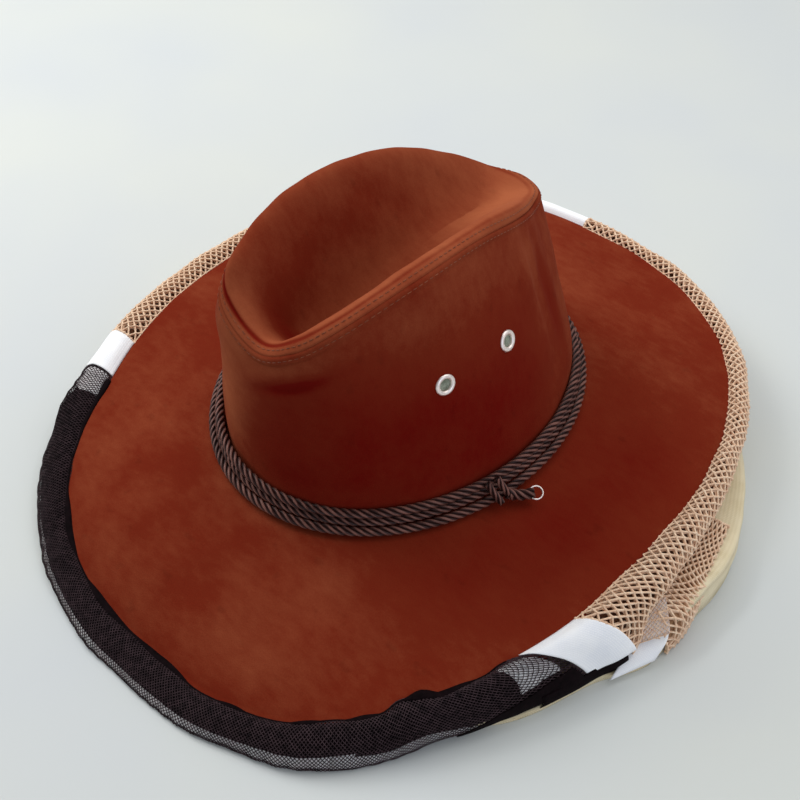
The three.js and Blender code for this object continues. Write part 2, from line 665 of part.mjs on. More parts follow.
function addVeil() {
  const overTape = turnsBetween(...TAPE_LEFT_SPAN, TAPE_STEP);
  const overFold = turnsBetween(...FOLD_SPAN, FOLD_STEP);
  const elsewhere = turnsBetween(FOLD_SPAN[1] + FOLD_STEP, 360 + TAPE_LEFT_SPAN[0] - CLOTH_STEP, CLOTH_STEP);
  const clothTurns = [...overTape, ...overFold, ...elsewhere];
  addPiece('skirt_cloth', sweptWall(clothTurns, clothSection, { ring: true }), creamCloth);

  const panel = (from, to, step) => turnsBetween(from + PANEL_GAP, to - PANEL_GAP, step);
  const frontTurns = panel(TAPE_RIGHT_SPAN[1], TAPE_LEFT_SPAN[0], FRONT_NET_STEP);
  const leftTurns = panel(TAPE_LEFT_SPAN[1], TAPE_BACK_SPAN[0], ROLLED_NET_STEP);
  const rightTurns = panel(TAPE_BACK_SPAN[1], 360 + TAPE_RIGHT_SPAN[0], ROLLED_NET_STEP);
  const open = (row, column) => column % 2 === 1 && PIERCED_ROWS.includes(row);
  addPiece('net_front', sweptWall(frontTurns, frontNetSection), blackNet);
  addPiece('net_left', sweptWall(leftTurns, rolledNetSection, { open }), tanNet);
  addPiece('net_right', sweptWall(rightTurns, rolledNetSection, { open }), tanNet);
  addPiece('net_left_fold', sweptWall(overFold, lowerFoldSection), tanNet);

  const rightTape = turnsBetween(...TAPE_RIGHT_SPAN, BACK_TAPE_STEP);
  const backTape = turnsBetween(...TAPE_BACK_SPAN, BACK_TAPE_STEP);
  addPiece('tape_left', sweptWall(overTape, leftTapeSection), whiteTape);
  addPiece('tape_right', sweptWall(rightTape, rolledNetSection), whiteTape);
  addPiece('tape_back', sweptWall(backTape, rolledNetSection), whiteTape);
}

// The whole hat is moved so that the origin lies under the middle of its outline
function centreOnOrigin() {
  const outline = new THREE.Box3().setFromObject(hat, true);
  const middle = outline.getCenter(new THREE.Vector3());
  hat.position.set(-middle.x, -middle.y, -outline.min.z);
}

addCrown();
addBrim();
addBand();
addEyelets();
addVeil();
centreOnOrigin();

export default hat;
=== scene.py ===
"""Suede-cloth beekeeper hat, lying on a table with its bee veil folded back under the brim.

Sizes in the tables and fields are millimetres, in the hat's own frame: the foot of the crown is
centred on x = y = 0, the front is towards -Y and a turn counts degrees from the front round to
the wearer's left. Meshes are written in metres.
"""

import logging
import math
from dataclasses import dataclass, field
from enum import Enum
from typing import Any, Sequence

import bmesh
import bpy
import numpy as np
from bpy.types import ID, Material, Mesh, Node, NodeSocket, NodeTree, Object
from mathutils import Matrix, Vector

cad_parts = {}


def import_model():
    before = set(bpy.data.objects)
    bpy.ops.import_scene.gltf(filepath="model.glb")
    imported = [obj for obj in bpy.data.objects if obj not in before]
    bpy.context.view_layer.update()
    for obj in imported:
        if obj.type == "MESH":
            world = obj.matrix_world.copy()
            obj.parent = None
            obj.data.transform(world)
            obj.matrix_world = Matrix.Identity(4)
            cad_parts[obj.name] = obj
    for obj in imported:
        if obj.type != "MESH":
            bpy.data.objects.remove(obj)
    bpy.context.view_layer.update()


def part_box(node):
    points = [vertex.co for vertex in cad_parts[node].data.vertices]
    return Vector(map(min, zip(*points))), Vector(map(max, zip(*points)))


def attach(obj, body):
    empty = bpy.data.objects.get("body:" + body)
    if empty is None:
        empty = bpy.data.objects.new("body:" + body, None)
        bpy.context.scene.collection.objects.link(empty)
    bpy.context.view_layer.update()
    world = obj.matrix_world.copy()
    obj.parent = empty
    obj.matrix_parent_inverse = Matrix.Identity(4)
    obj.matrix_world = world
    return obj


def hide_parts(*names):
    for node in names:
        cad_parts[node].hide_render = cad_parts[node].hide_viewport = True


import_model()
LOG = logging.getLogger("hat")
MM = 0.001
PHOTO_SIZE = 800
UP = np.array([0.0, 0.0, 1.0])
FULL_TURN = 2 * math.pi


class Slot(Enum):
    """Names of material slots, one for each kind of piece."""

    SUEDE = "suede"
    CORD = "cord"
    METAL = "eyelet_metal"
    CLOTH = "cream_cloth"
    BLACK_NET = "black_net"
    TAN_NET = "tan_net"
    TAPE = "white_tape"


class Held(Enum):
    """How a sheet of cloth is held."""

    FOLDED = "folded"


class Table:
    """A short table of rows that is read smoothly between its turns."""

    def __init__(self, columns: str, rows: Sequence[Sequence[float]]) -> None:
        """Keep rows of values in rising order of their first column, the turn."""
        self.names = columns.split()
        self.values = np.array(rows, float)

    def at(self, column: str, turns: np.ndarray) -> np.ndarray:
        """Read one column at some turns, by cubic pieces with level ends.

        Args:
            column: Name of the column.
            turns: Turns in degrees, inside the table's range.

        Returns:
            The column's value at each turn.
        """
        x, y = self.values[:, 0], self.values[:, self.names.index(column)]
        slope = np.zeros(len(x))
        slope[1:-1] = (y[2:] - y[:-2]) / (x[2:] - x[:-2])
        t = np.clip(turns, x[0], x[-1])
        i = np.clip(np.searchsorted(x, t, side="left") - 1, 0, len(x) - 2)
        span = x[i + 1] - x[i]
        f = (t - x[i]) / span
        level = (2 * f**3 - 3 * f**2 + 1) * y[i] + (3 * f**2 - 2 * f**3) * y[i + 1]
        return level + span * ((f**3 - 2 * f**2 + f) * slope[i] + (f**3 - f**2) * slope[i + 1])


CROWN = Table("turn x y seam crest hollow", [
    (-200, 16.5, 93, 92.5, 94, 90),
    (-180, 0, 98.5, 91.5, 93, 90),
    (-160, -18, 93, 89, 94.5, 90),
    (-140, -31.5, 76, 96.5, 105, 91),
    (-115, -41, 43, 113, 121, 92),
    (-90, -45.5, 0.5, 125, 132.5, 88),
    (-66, -45, -45.5, 127, 136, 84),
    (-43, -36, -84.5, 116.5, 128, 82),
    (-25, -25, -98, 108.5, 115, 82),
    (0, 0, -102, 99.5, 102.5, 83),
    (25, 22.5, -98, 110, 113.5, 82),
    (43, 36.5, -84.5, 122, 125, 82),
    (66, 46.5, -45.5, 131, 133, 84),
    (90, 46.5, 0.5, 127.5, 130, 88),
    (115, 40, 43, 113, 118, 92),
    (140, 26, 76, 96.5, 100.5, 91),
    (160, 16.5, 93, 92.5, 94, 90),
    (180, 0, 98.5, 91.5, 93, 90),
    (200, -18, 93, 89, 94.5, 90),
])
BRIM = Table("turn reach rise sag", [
    (-180, 0.992, -11, 0),
    (-150, 1.030, -10.9, 1),
    (-120, 1.038, -10.6, 2),
    (-90, 1.001, -10.5, 3),
    (-75, 0.987, -12.4, 3),
    (-60, 0.982, -17.8, 2),
    (-45, 1.006, -25, 1),
    (-30, 1.005, -32.2, 0),
    (-15, 0.982, -37.5, 0),
    (0, 0.962, -39.4, 0),
    (15, 0.993, -37.5, 0),
    (30, 1.027, -32.2, 0),
    (45, 1.026, -25, 1),
    (60, 1.007, -17.8, 2),
    (75, 0.996, -12.5, 3),
    (90, 0.982, -10.5, 3),
    (105, 1.007, -10.5, 3),
    (120, 1.031, -10.6, 2),
    (135, 1.045, -10.8, 1),
    (150, 1.030, -10.9, 1),
    (180, 0.992, -11, 0),
])
VEIL = Table("turn net low cloth puff slant", [
    (-180, 12, 0, 2, 1, 0),
    (-150, 13, 0, 3, 1, 0),
    (-120, 16, 0, 5, 1, 0),
    (-90, 18, 0, 5, 1, 0),
    (-72, 21, 0, 0, 1, 0),
    (-63, 22, 0, -2, 0, 0),
    (-54, 28.5, 0, -2, 0, 0),
    (-43, 24, 0, -2, 0, 0),
    (-30, 19, 0, -2, 0, 0),
    (-15, 19, 0, -2, 0, 0),
    (0, 20, 0, -2, 0, 0),
    (15, 18, 0, -2, 0, 0),
    (27, 17, 0, -2, 0, 0),
    (35, 18.5, 0, -2, 0, 0),
    (42, 16, 0, -2, 0, 0),
    (50, 14.5, 3.7, -2, 0, 1),
    (57, 15.5, 3.7, 18, 0, 5),
    (64, 19, 3.7, 22, 0, 8),
    (69, 17, 3.7, 26, 0, 8),
    (74, 18, 3.7, 30, 0, 7),
    (83, 21, 3.7, 33, 1, 4),
    (92, 18.5, 1, 33, 1, 1.5),
    (102, 15.5, 0, 32, 1, 0),
    (112, 13, 0, 24, 1, 0),
    (125, 13, 0, 12, 1, 0),
    (150, 13, 0, 3, 1, 0),
    (180, 12, 0, 2, 1, 0),
])


def wrap(turns: np.ndarray) -> np.ndarray:
    """Bring turns into the range from -180 to 180 degrees."""
    return (np.asarray(turns, float) + 180) % 360 - 180


def ease(share: np.ndarray) -> np.ndarray:
    """Give a share level ends at 0 and at 1."""
    return share * share * (3 - 2 * share)


def unit(vectors: np.ndarray) -> np.ndarray:
    """Scale vectors to length 1."""
    return vectors / np.maximum(np.linalg.norm(vectors, axis=-1, keepdims=True), 1e-9)


def run_of(line: np.ndarray) -> np.ndarray:
    """Distance run along a line at each of its points."""
    return np.concatenate([[0], np.cumsum(np.linalg.norm(np.diff(line, axis=0), axis=1))])


def above(points: np.ndarray, floor: float) -> np.ndarray:
    """Keep points at least this high over the table."""
    points[..., 2] = np.maximum(points[..., 2], floor)
    return points


def sections_of(*places: Sequence[np.ndarray]) -> np.ndarray:
    """Sections turn by turn, from the distance out and the height of each of their points."""
    return np.stack([np.stack(place, axis=-1) for place in places], axis=1)


def soft_noise(points: np.ndarray, size: float, seed: int) -> np.ndarray:
    """Smooth noise in space, the same on every run.

    Args:
        points: Places in millimetres, the last axis x, y and z.
        size: Size of a typical hump, in millimetres.
        seed: Seed of the waves.

    Returns:
        A value near -1 to 1 at each point.
    """
    rng = np.random.default_rng(seed)
    total = np.zeros(points.shape[:-1])
    waves = 9
    for _ in range(waves):
        way = rng.normal(size=3)
        way *= FULL_TURN / (size * 2 * rng.uniform(0.7, 1.5)) / np.linalg.norm(way)
        total += np.sin(points @ way + rng.uniform(0, FULL_TURN))
    return total / math.sqrt(waves)


def hump(distance: np.ndarray, width: float) -> np.ndarray:
    """Bell-shaped weight of a distance from a line."""
    return np.exp(-((distance / width) ** 2))


@dataclass(frozen=True)
class Slip:
    """A tape that lies skewed across the edge: its turn and how far its two ends slip."""

    turn: float
    wide: float
    inside: float
    outside: float
    reach: float


SLIPS = (Slip(-67, 9, 1.6, 0.2, 15), Slip(64, 5, 0, 4.2, 20))


@dataclass
class HatForm:
    """The hat's main sizes, and its surfaces as functions of the turn."""

    base_height: float = 48
    head_half_width: float = 87
    head_half_length: float = 106
    brim_half_width: float = 165
    brim_half_length: float = 199
    brim_thick: float = 2.2
    brim_fall_power: float = 1.7
    wall_bulge: float = 1.6
    crest_level: float = 0.88
    spine_share: float = 0.62
    hollow_bias: float = 1.15
    slant_reach: float = 28
    slant_most: float = 1.2

    def seam(self, turns: np.ndarray) -> dict[str, np.ndarray]:
        """Give the crown table's columns at some turns."""
        return {name: CROWN.at(name, wrap(turns)) for name in CROWN.names[1:]}

    def wall(self, turns: np.ndarray, level: np.ndarray) -> np.ndarray:
        """Points of the crown's side wall.

        Args:
            turns: Turns in degrees.
            level: 0 at the foot of the wall and 1 at the seam.

        Returns:
            Points in millimetres.
        """
        s, a = self.seam(turns), np.radians(turns)
        lean = level**self.wall_bulge
        x = self.head_half_width * np.sin(a) * (1 - lean) + s["x"] * lean
        y = -self.head_half_length * np.cos(a) * (1 - lean) + s["y"] * lean
        return np.stack([x, y, self.base_height + s["seam"] * level], axis=-1)

    def top(self, turns: np.ndarray, level: np.ndarray) -> np.ndarray:
        """Points of the crown's top panel.

        Args:
            turns: Turns in degrees.
            level: 1 at the seam and 0 at the hollow's spine.

        Returns:
            Points in millimetres.
        """
        s = self.seam(turns)
        spine = s["y"] * self.spine_share
        rim = np.minimum(1, (1 - level) / (1 - self.crest_level))
        dip = np.minimum(1, level / self.crest_level) ** self.hollow_bias
        over = s["seam"] + (s["crest"] - s["seam"]) * np.sin(rim * np.pi / 2)
        inside = s["hollow"] + (s["crest"] - s["hollow"]) * (0.5 - 0.5 * np.cos(np.pi * dip))
        z = self.base_height + np.where(level >= self.crest_level, over, inside)
        return np.stack([s["x"] * level, spine + (s["y"] - spine) * level, z], axis=-1)

    def brim_edge(self, turns: np.ndarray) -> np.ndarray:
        """Points of the brim's upper edge.

        Args:
            turns: Turns in degrees.

        Returns:
            Points in millimetres.
        """
        t = wrap(turns)
        a, reach = np.radians(t), BRIM.at("reach", t)
        x = self.brim_half_width * reach * np.sin(a)
        y = -self.brim_half_length * reach * np.cos(a)
        return np.stack([x, y, self.base_height + BRIM.at("rise", t)], axis=-1)

    def brim(self, turns: np.ndarray, share: np.ndarray, clearance: float = 0.5) -> np.ndarray:
        """Points of the brim's upper side.

        Args:
            turns: Turns in degrees.
            share: 0 at the crown and 1 at the edge.
            clearance: Gap between the brim and the foot of the crown.

        Returns:
            Points in millimetres.
        """
        a, edge = np.radians(turns), self.brim_edge(turns)
        x = (self.head_half_width + clearance) * np.sin(a)
        y = -(self.head_half_length + clearance) * np.cos(a)
        sag = BRIM.at("sag", wrap(turns)) * np.sin(np.pi * share)
        fall = (edge[..., 2] - self.base_height) * share**self.brim_fall_power
        x, y = x + (edge[..., 0] - x) * share, y + (edge[..., 1] - y) * share
        return np.stack([x, y, self.base_height + fall - sag], axis=-1)

    def edge_out(self, turns: np.ndarray) -> np.ndarray:
        """Level direction straight out from the brim's edge.

        Args:
            turns: Turns in degrees.

        Returns:
            Directions of length 1.
        """
        along = self.brim_edge(turns + 0.5) - self.brim_edge(turns - 0.5)
        length = np.hypot(along[..., 0], along[..., 1])
        flat = np.zeros_like(length)
        return np.stack([along[..., 1] / length, -along[..., 0] / length, flat], axis=-1)

    def slip(self, turns: np.ndarray, out: np.ndarray) -> np.ndarray:
        """Degrees that the veil slips along the edge beside its skewed tapes.

        Args:
            turns: Turns in degrees.
            out: Distance out past the brim's edge.

        Returns:
            The slip at each point.
        """
        total = np.zeros(np.broadcast(turns, out).shape)
        for row in SLIPS:
            share = np.clip(out / row.reach, 0, 1)
            total += (row.inside + (row.outside - row.inside) * share) * hump(wrap(turns) - row.turn, row.wide)
        return total

    def veil_point(self, turns: np.ndarray, out: np.ndarray, height: np.ndarray) -> np.ndarray:
        """Points beside the brim.

        Args:
            turns: Turns in degrees.
            out: Distance out past the brim's edge.
            height: Height over the table.

        Returns:
            Points in millimetres.
        """
        lean = VEIL.at("slant", wrap(turns)) * np.clip(out / self.slant_reach, 0, self.slant_most)
        at = turns + lean + self.slip(turns, out)
        points = self.brim_edge(at) + self.edge_out(at) * out[..., None]
        points[..., 2] = height
        return points

    def near_foot(self, turns: np.ndarray, out: np.ndarray, up: np.ndarray) -> np.ndarray:
        """Points near the foot of the crown.

        Args:
            turns: Turns in degrees.
            out: Distance out from the wall.
            up: Height over the crown's base.

        Returns:
            Points in millimetres.
        """
        a = np.radians(turns)
        way = np.stack([np.sin(a) / self.head_half_width, -np.cos(a) / self.head_half_length, 0 * a], axis=-1)
        return self.wall(turns, up / self.seam(turns)["seam"]) + unit(way) * np.asarray(out)[..., None]


FORM = HatForm()


def frame_shift() -> np.ndarray:
    """Where the crown's own centre lies in the model's frame, in metres."""
    low, high = (np.array(corner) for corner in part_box("crown_side"))
    return np.array([(low[0] + high[0]) / 2, (low[1] + high[1]) / 2, 0.0])


SHIFT = frame_shift()


def world(points: np.ndarray) -> np.ndarray:
    """Turn the hat's millimetres into metres in the model's frame."""
    return np.asarray(points) * MM + SHIFT


@dataclass
class Sheet:
    """A fine grid of points over one surface, with its normals."""

    points: np.ndarray
    ring: bool = False
    inward: bool = False
    normals: np.ndarray = field(init=False)

    def __post_init__(self) -> None:
        """Work out the normals from the grid, columns crossed with rows."""
        if self.ring:
            along = np.roll(self.points, -1, axis=1) - np.roll(self.points, 1, axis=1)
        else:
            along = np.gradient(self.points, axis=1)
        up = np.gradient(self.points, axis=0)
        self.normals = unit(np.cross(up, along) if self.inward else np.cross(along, up))

    def lifted(self, height: np.ndarray | float) -> np.ndarray:
        """The grid's points moved out along their normals."""
        return self.points + self.normals * np.asarray(height)[..., None]

    def at(self, row: np.ndarray, column: np.ndarray, lift: np.ndarray | float = 0.0) -> np.ndarray:
        """Read the surface between its grid points.

        Args:
            row: Places along the rows, from 0 to 1.
            column: Places along the columns, from 0 to 1.
            lift: Distance out along the normal.

        Returns:
            Points in millimetres.
        """
        rows, columns = self.points.shape[:2]
        r = np.clip(row, 0, 1) * (rows - 1)
        c = np.clip(column, 0, 1) * (columns - 1)
        i, j = np.minimum(r.astype(int), rows - 2), np.minimum(c.astype(int), columns - 2)
        fr, fc = (r - i)[..., None], (c - j)[..., None]

        def mixed(values: np.ndarray) -> np.ndarray:
            """Bilinear mix of the four corners."""
            low, high = (values[k, j] * (1 - fc) + values[k, j + 1] * fc for k in (i, i + 1))
            return low * (1 - fr) + high * fr

        return mixed(self.points) + mixed(self.normals) * np.asarray(lift)[..., None]


def add_object(name: str, data: ID) -> Object:
    """Put an object with its data into the scene.

    Args:
        name: Name of the object.
        data: Its mesh, camera or light.

    Returns:
        The new object, at the origin.
    """
    made = bpy.data.objects.new(name, data)
    bpy.context.collection.objects.link(made)
    return made


def new_object(name: str, points: np.ndarray, faces: list, material: Material | None, edges: Sequence = (),
               smooth: bool = True) -> Object:
    """Make a mesh object from points in the hat's millimetres.

    Args:
        name: Name of the piece.
        points: Vertices.
        faces: Corner lists of the faces.
        material: The piece's material.
        edges: Loose edges, for a line.
        smooth: Whether faces are shaded smooth.

    Returns:
        The new object, at the origin.
    """
    mesh = bpy.data.meshes.new(name)
    mesh.from_pydata(world(points).tolist(), list(edges), faces)
    if material:
        mesh.materials.append(material)
    if smooth and faces:
        mesh.polygons.foreach_set("use_smooth", [True] * len(mesh.polygons))
    mesh.update()
    return add_object(name, mesh)


def evaluated_mesh(piece: Object) -> Mesh:
    """Plain mesh of an object with its modifiers run."""
    depsgraph = bpy.context.evaluated_depsgraph_get()
    return bpy.data.meshes.new_from_object(piece.evaluated_get(depsgraph))


def fix_normals(piece: Object, merge: float = 1e-6) -> None:
    """Merge doubled points and turn the faces of a closed mesh outwards.

    Args:
        piece: The piece.
        merge: Distance in metres up to which points are merged.
    """
    mesh = bmesh.new()
    mesh.from_mesh(piece.data)
    bmesh.ops.remove_doubles(mesh, verts=mesh.verts, dist=merge)
    bmesh.ops.recalc_face_normals(mesh, faces=mesh.faces)
    mesh.to_mesh(piece.data)
    mesh.free()


def grid_faces(rows: int, columns: int, ring: bool, start: int = 0, flip: bool = False) -> np.ndarray:
    """Quads of a grid of points, numbered row by row.

    Args:
        rows: Rows of points.
        columns: Points in a row.
        ring: Whether the columns close round on themselves.
        start: Number of the first point.
        flip: Whether the faces look the other way.

    Returns:
        Four corners for each quad.
    """
    r, c = np.meshgrid(np.arange(rows - 1), np.arange(columns if ring else columns - 1), indexing="ij")
    n = (c + 1) % columns
    quads = np.stack([r * columns + c, r * columns + n, (r + 1) * columns + n, (r + 1) * columns + c], axis=-1)
    quads = quads.reshape(-1, 4) + start
    return quads[:, ::-1] if flip else quads


def tube_faces(sides: int, count: int, closed: bool, start: int = 0) -> list[list[int]]:
    """Faces of a tube, capped where it is open.

    Args:
        sides: Lines of points round the tube.
        count: Points along each line.
        closed: Whether the tube is a ring.
        start: Number of the first point.

    Returns:
        Corner lists of the faces.
    """
    faces = (grid_faces(sides + 1, count, closed) % (sides * count) + start).tolist()
    if not closed:
        first = [start + side * count for side in range(sides)]
        faces += [first, [corner + count - 1 for corner in reversed(first)]]
    return faces


def shell(name: str, outer: np.ndarray, inner: np.ndarray, ring: bool, material: Material) -> Object:
    """Make a closed wall between an outer and an inner grid, with a UV map in metres.

    Args:
        name: Name of the piece.
        outer: Grid of outer points.
        inner: Grid of inner points, of the same size.
        ring: Whether the columns close round on themselves.
        material: The piece's material.

    Returns:
        The new object.
    """
    rows, columns = outer.shape[:2]
    size = rows * columns
    faces = [grid_faces(rows, columns, ring), grid_faces(rows, columns, ring, size, True)]
    c = np.arange(columns if ring else columns - 1)
    n = (c + 1) % columns
    last = (rows - 1) * columns
    faces.append(np.stack([c + size, n + size, n, c], axis=-1))
    faces.append(np.stack([last + c, last + n, last + n + size, last + c + size], axis=-1))
    if not ring:
        r = np.arange(rows - 1) * columns
        e = r + columns - 1
        faces.append(np.stack([r, r + columns, r + columns + size, r + size], axis=-1))
        faces.append(np.stack([e + size, e + columns + size, e + columns, e], axis=-1))
    quads = np.concatenate(faces)
    points = np.concatenate([outer.reshape(-1, 3), inner.reshape(-1, 3)])
    made = new_object(name, points, quads.tolist(), material)
    uv = np.stack(np.meshgrid(run_of(outer[rows // 2]), run_of(outer[:, columns // 2])), axis=-1)
    uv = uv.reshape(-1, 2) * MM
    set_uv(made, "cloth", np.concatenate([uv, uv]))
    return made


def set_uv(piece: Object, name: str, uv: np.ndarray) -> None:
    """Store a UV map from a place at each vertex.

    Args:
        piece: The piece.
        name: Name of the map.
        uv: Place of each vertex, in metres.
    """
    corners = np.zeros(len(piece.data.loops), int)
    piece.data.loops.foreach_get("vertex_index", corners)
    piece.data.uv_layers.new(name=name).data.foreach_set("uv", uv[corners].ravel())


def set_attribute(piece: Object, name: str, values: np.ndarray) -> None:
    """Store a value at each vertex of a piece, for its material."""
    layer = piece.data.attributes.new(name, "FLOAT", "POINT")
    layer.data.foreach_set("value", np.asarray(values, np.float32).ravel())


@dataclass(frozen=True)
class Spot:
    """A place on the suede by turn and height: a lighter or darker spot of its colour, for nap tone and for painted
    light and shade, or a dent or hump.
    """

    turn: float
    height: float
    wide: float
    tall: float
    amount: float
    tilt: float = 0.0


def spread(spots: Sequence[Spot], turns: np.ndarray, height: np.ndarray, radius: float) -> np.ndarray:
    """Sum of some spots over a surface.

    Args:
        spots: The spots.
        turns: Turns in degrees.
        height: Height up the wall, or distance from the seam or the crown.
        radius: Radius that turns a turn into a distance.

    Returns:
        The sum at each point.
    """
    total = np.zeros(np.broadcast(turns, height).shape)
    for spot in spots:
        along = wrap(turns - spot.turn) * math.radians(1) * radius
        up = height - spot.height - spot.tilt * along
        total += spot.amount * np.exp(-((along / spot.wide) ** 2) - (up / spot.tall) ** 2)
    return total


def rounded_rim(outer: np.ndarray, inner: np.ndarray) -> tuple[np.ndarray, np.ndarray]:
    """Add a soft rim to the last row of a wall by drawing both sides in over it.

    Args:
        outer: Grid of outer points.
        inner: Grid of inner points, of the same size.

    Returns:
        Both grids with the rim's rows.
    """
    way = unit(outer[-1] - outer[-2])
    middle = (outer[-1] + inner[-1]) / 2
    half = np.linalg.norm(outer[-1] - inner[-1], axis=-1, keepdims=True) / 2
    extra_outer, extra_inner = [], []
    for angle in (30, 60, 85):
        push = middle + way * half * math.sin(math.radians(angle))
        side = (outer[-1] - middle) * math.cos(math.radians(angle))
        extra_outer.append(push + side)
        extra_inner.append(push - side)
    return np.concatenate([outer, extra_outer]), np.concatenate([inner, extra_inner])


# Shaders


def linear(hex_colour: str) -> tuple[float, float, float, float]:
    """Turn an sRGB hex colour into linear values.

    Args:
        hex_colour: The colour, with its leading sign.

    Returns:
        Red, green, blue and an alpha of 1.
    """
    parts = [int(hex_colour[k:k + 2], 16) / 255 for k in (1, 3, 5)]
    red, green, blue = (p / 12.92 if p <= 0.04045 else ((p + 0.055) / 1.055) ** 2.4 for p in parts)
    return red, green, blue, 1.0


def add_node(tree: NodeTree, kind: str, inputs: dict[Any, Any] | None = None,
             stops: Sequence[tuple[float, str]] = (), **settings: Any) -> Node:
    """Add a node with its settings and links.

    Args:
        tree: The node tree.
        kind: Blender's type name of the node.
        inputs: Values or output sockets for the node's inputs, by name or number.
        stops: Places and sRGB hex colours of a node's colour ramp.
        settings: The node's own properties.

    Returns:
        The new node.
    """
    made = tree.nodes.new(kind)
    for key, value in settings.items():
        setattr(made, key, value)
    for key, value in (inputs or {}).items():
        if isinstance(value, NodeSocket):
            tree.links.new(value, made.inputs[key])
        else:
            made.inputs[key].default_value = value
    if stops:
        elements = made.color_ramp.elements
        while len(elements) < len(stops):
            elements.new(0.5)
        for element, (place, colour) in zip(elements, stops):
            element.position, element.color = place, linear(colour)
    return made


@dataclass(frozen=True)
class Finish:
    """A material named for the real one, and the steps that the finishes share."""

    name: str

    def build(self) -> Material:
        """Make the material.

        Returns:
            The finished material.
        """
        material = bpy.data.materials.new(self.name)
        material.use_nodes = True
        material.node_tree.nodes.clear()
        self.paint(material.node_tree)
        return material

    def paint(self, tree: NodeTree) -> None:
        """Build the look in an empty tree."""
        raise NotImplementedError

    def clouds(self, tree: NodeTree, size_mm: float, detail: float,
               stretch: tuple[float, float, float] = (1, 1, 1), on: str = "Object") -> NodeSocket:
        """Uneven clouds of a real size over a piece.

        Args:
            tree: The node tree.
            size_mm: Size of a cloud.
            detail: Finer steps within the clouds.
            stretch: Scale of the coordinates along each axis.
            on: Coordinates that the clouds follow, Object or UV.

        Returns:
            Their value, about 0.5 on average.
        """
        source = add_node(tree, "ShaderNodeTexCoord").outputs[on]
        places = add_node(tree, "ShaderNodeMapping", {"Vector": source, "Scale": stretch}).outputs["Vector"]
        inputs = {"Vector": places, "Scale": 1 / (size_mm * MM), "Detail": detail}
        return add_node(tree, "ShaderNodeTexNoise", inputs).outputs["Fac"]

    def stirred(self, tree: NodeTree, level: NodeSocket,
                patterns: Sequence[tuple[NodeSocket, float]]) -> NodeSocket:
        """Move a level up and down by patterns.

        Args:
            tree: The node tree.
            level: The level.
            patterns: Patterns that average 0.5, each with its share.

        Returns:
            The moved level.
        """
        for pattern, share in patterns:
            centred = add_node(tree, "ShaderNodeMath", {0: pattern, 1: 0.5}, operation="SUBTRACT")
            level = add_node(tree, "ShaderNodeMath", {0: centred.outputs[0], 1: share, 2: level},
                             operation="MULTIPLY_ADD").outputs[0]
        return level

    def dress(self, tree: NodeTree, inputs: dict[str, Any], relief: NodeSocket | None = None,
              strength: float = 1.0, depth_mm: float = 0.1) -> None:
        """End a tree in its shader and the material's output.

        Args:
            tree: The node tree.
            inputs: Values or sockets for the shader's inputs.
            relief: Height of the surface's fine relief, or None for none.
            strength: Strength of the relief.
            depth_mm: Depth of the relief.
        """
        if relief is not None:
            bump = add_node(tree, "ShaderNodeBump", {"Height": relief, "Strength": strength,
                                                     "Distance": depth_mm * MM})
            inputs = {**inputs, "Normal": bump.outputs["Normal"]}
        shader = add_node(tree, "ShaderNodeBsdfPrincipled", inputs)
        add_node(tree, "ShaderNodeOutputMaterial", {"Surface": shader.outputs["BSDF"]})


@dataclass(frozen=True)
class SuedeCloth(Finish):
    """Microfibre suede cloth, brushed: a matt nap, darker where the level stored on each piece is low; that level
    holds nap tone and also painted light and shade.
    """

    name: str = "suede_microfibre_brushed"
    # Ends of the colour ramp: the darkest also serves as painted shade, the lightest as painted light.
    pressed_and_shaded: str = "#690F08"
    plain: str = "#742715"
    raised_and_lit: str = "#A45A3A"
    patch_mm: float = 30
    stroke_mm: float = 8
    grain_mm: float = 0.8
    smudge_mm: float = 11

    def paint(self, tree: NodeTree) -> None:
        """Lay clouds, strokes and grain over the stored level of nap tone and painted light and shade, and a few
        darker smudges.

        Args:
            tree: The node tree.
        """
        # Stored level per vertex: nap tone mixed with painted light and shade, low where shade is painted and high
        # where light is painted.
        pile_and_shade = add_node(tree, "ShaderNodeAttribute", attribute_name="pile_and_shade").outputs["Fac"]
        patches = self.clouds(tree, self.patch_mm, 2.5)
        strokes = self.clouds(tree, self.stroke_mm, 4, (1.0, 2.2, 1.4))
        grain = self.clouds(tree, self.grain_mm, 2)
        level = self.stirred(tree, pile_and_shade, ((patches, 0.30), (strokes, 0.16), (grain, 0.10)))
        base = add_node(tree, "ShaderNodeValToRGB", {"Fac": level},
                        ((0.12, self.pressed_and_shaded), (0.45, self.plain), (0.95, self.raised_and_lit)))
        smudge = self.clouds(tree, self.smudge_mm, 2, (1.0, 1.5, 1.0))
        marks = add_node(tree, "ShaderNodeMapRange", {"Value": smudge, "From Min": 0.66, "From Max": 0.74,
                                                      "To Min": 1.0, "To Max": 0.9})
        colour = add_node(tree, "ShaderNodeVectorMath",
                          {0: base.outputs["Color"], "Scale": marks.outputs["Result"]}, operation="SCALE")
        nap = add_node(tree, "ShaderNodeMath", {0: strokes, 1: 0.5, 2: grain}, operation="MULTIPLY_ADD")
        self.dress(tree, {"Base Color": colour.outputs["Vector"], "Roughness": 1.0, "Specular IOR Level": 0.04,
                          "Sheen Weight": 0.02, "Sheen Roughness": 0.4, "Sheen Tint": linear("#D0663A")},
                   nap.outputs[0], 0.3, 0.4)


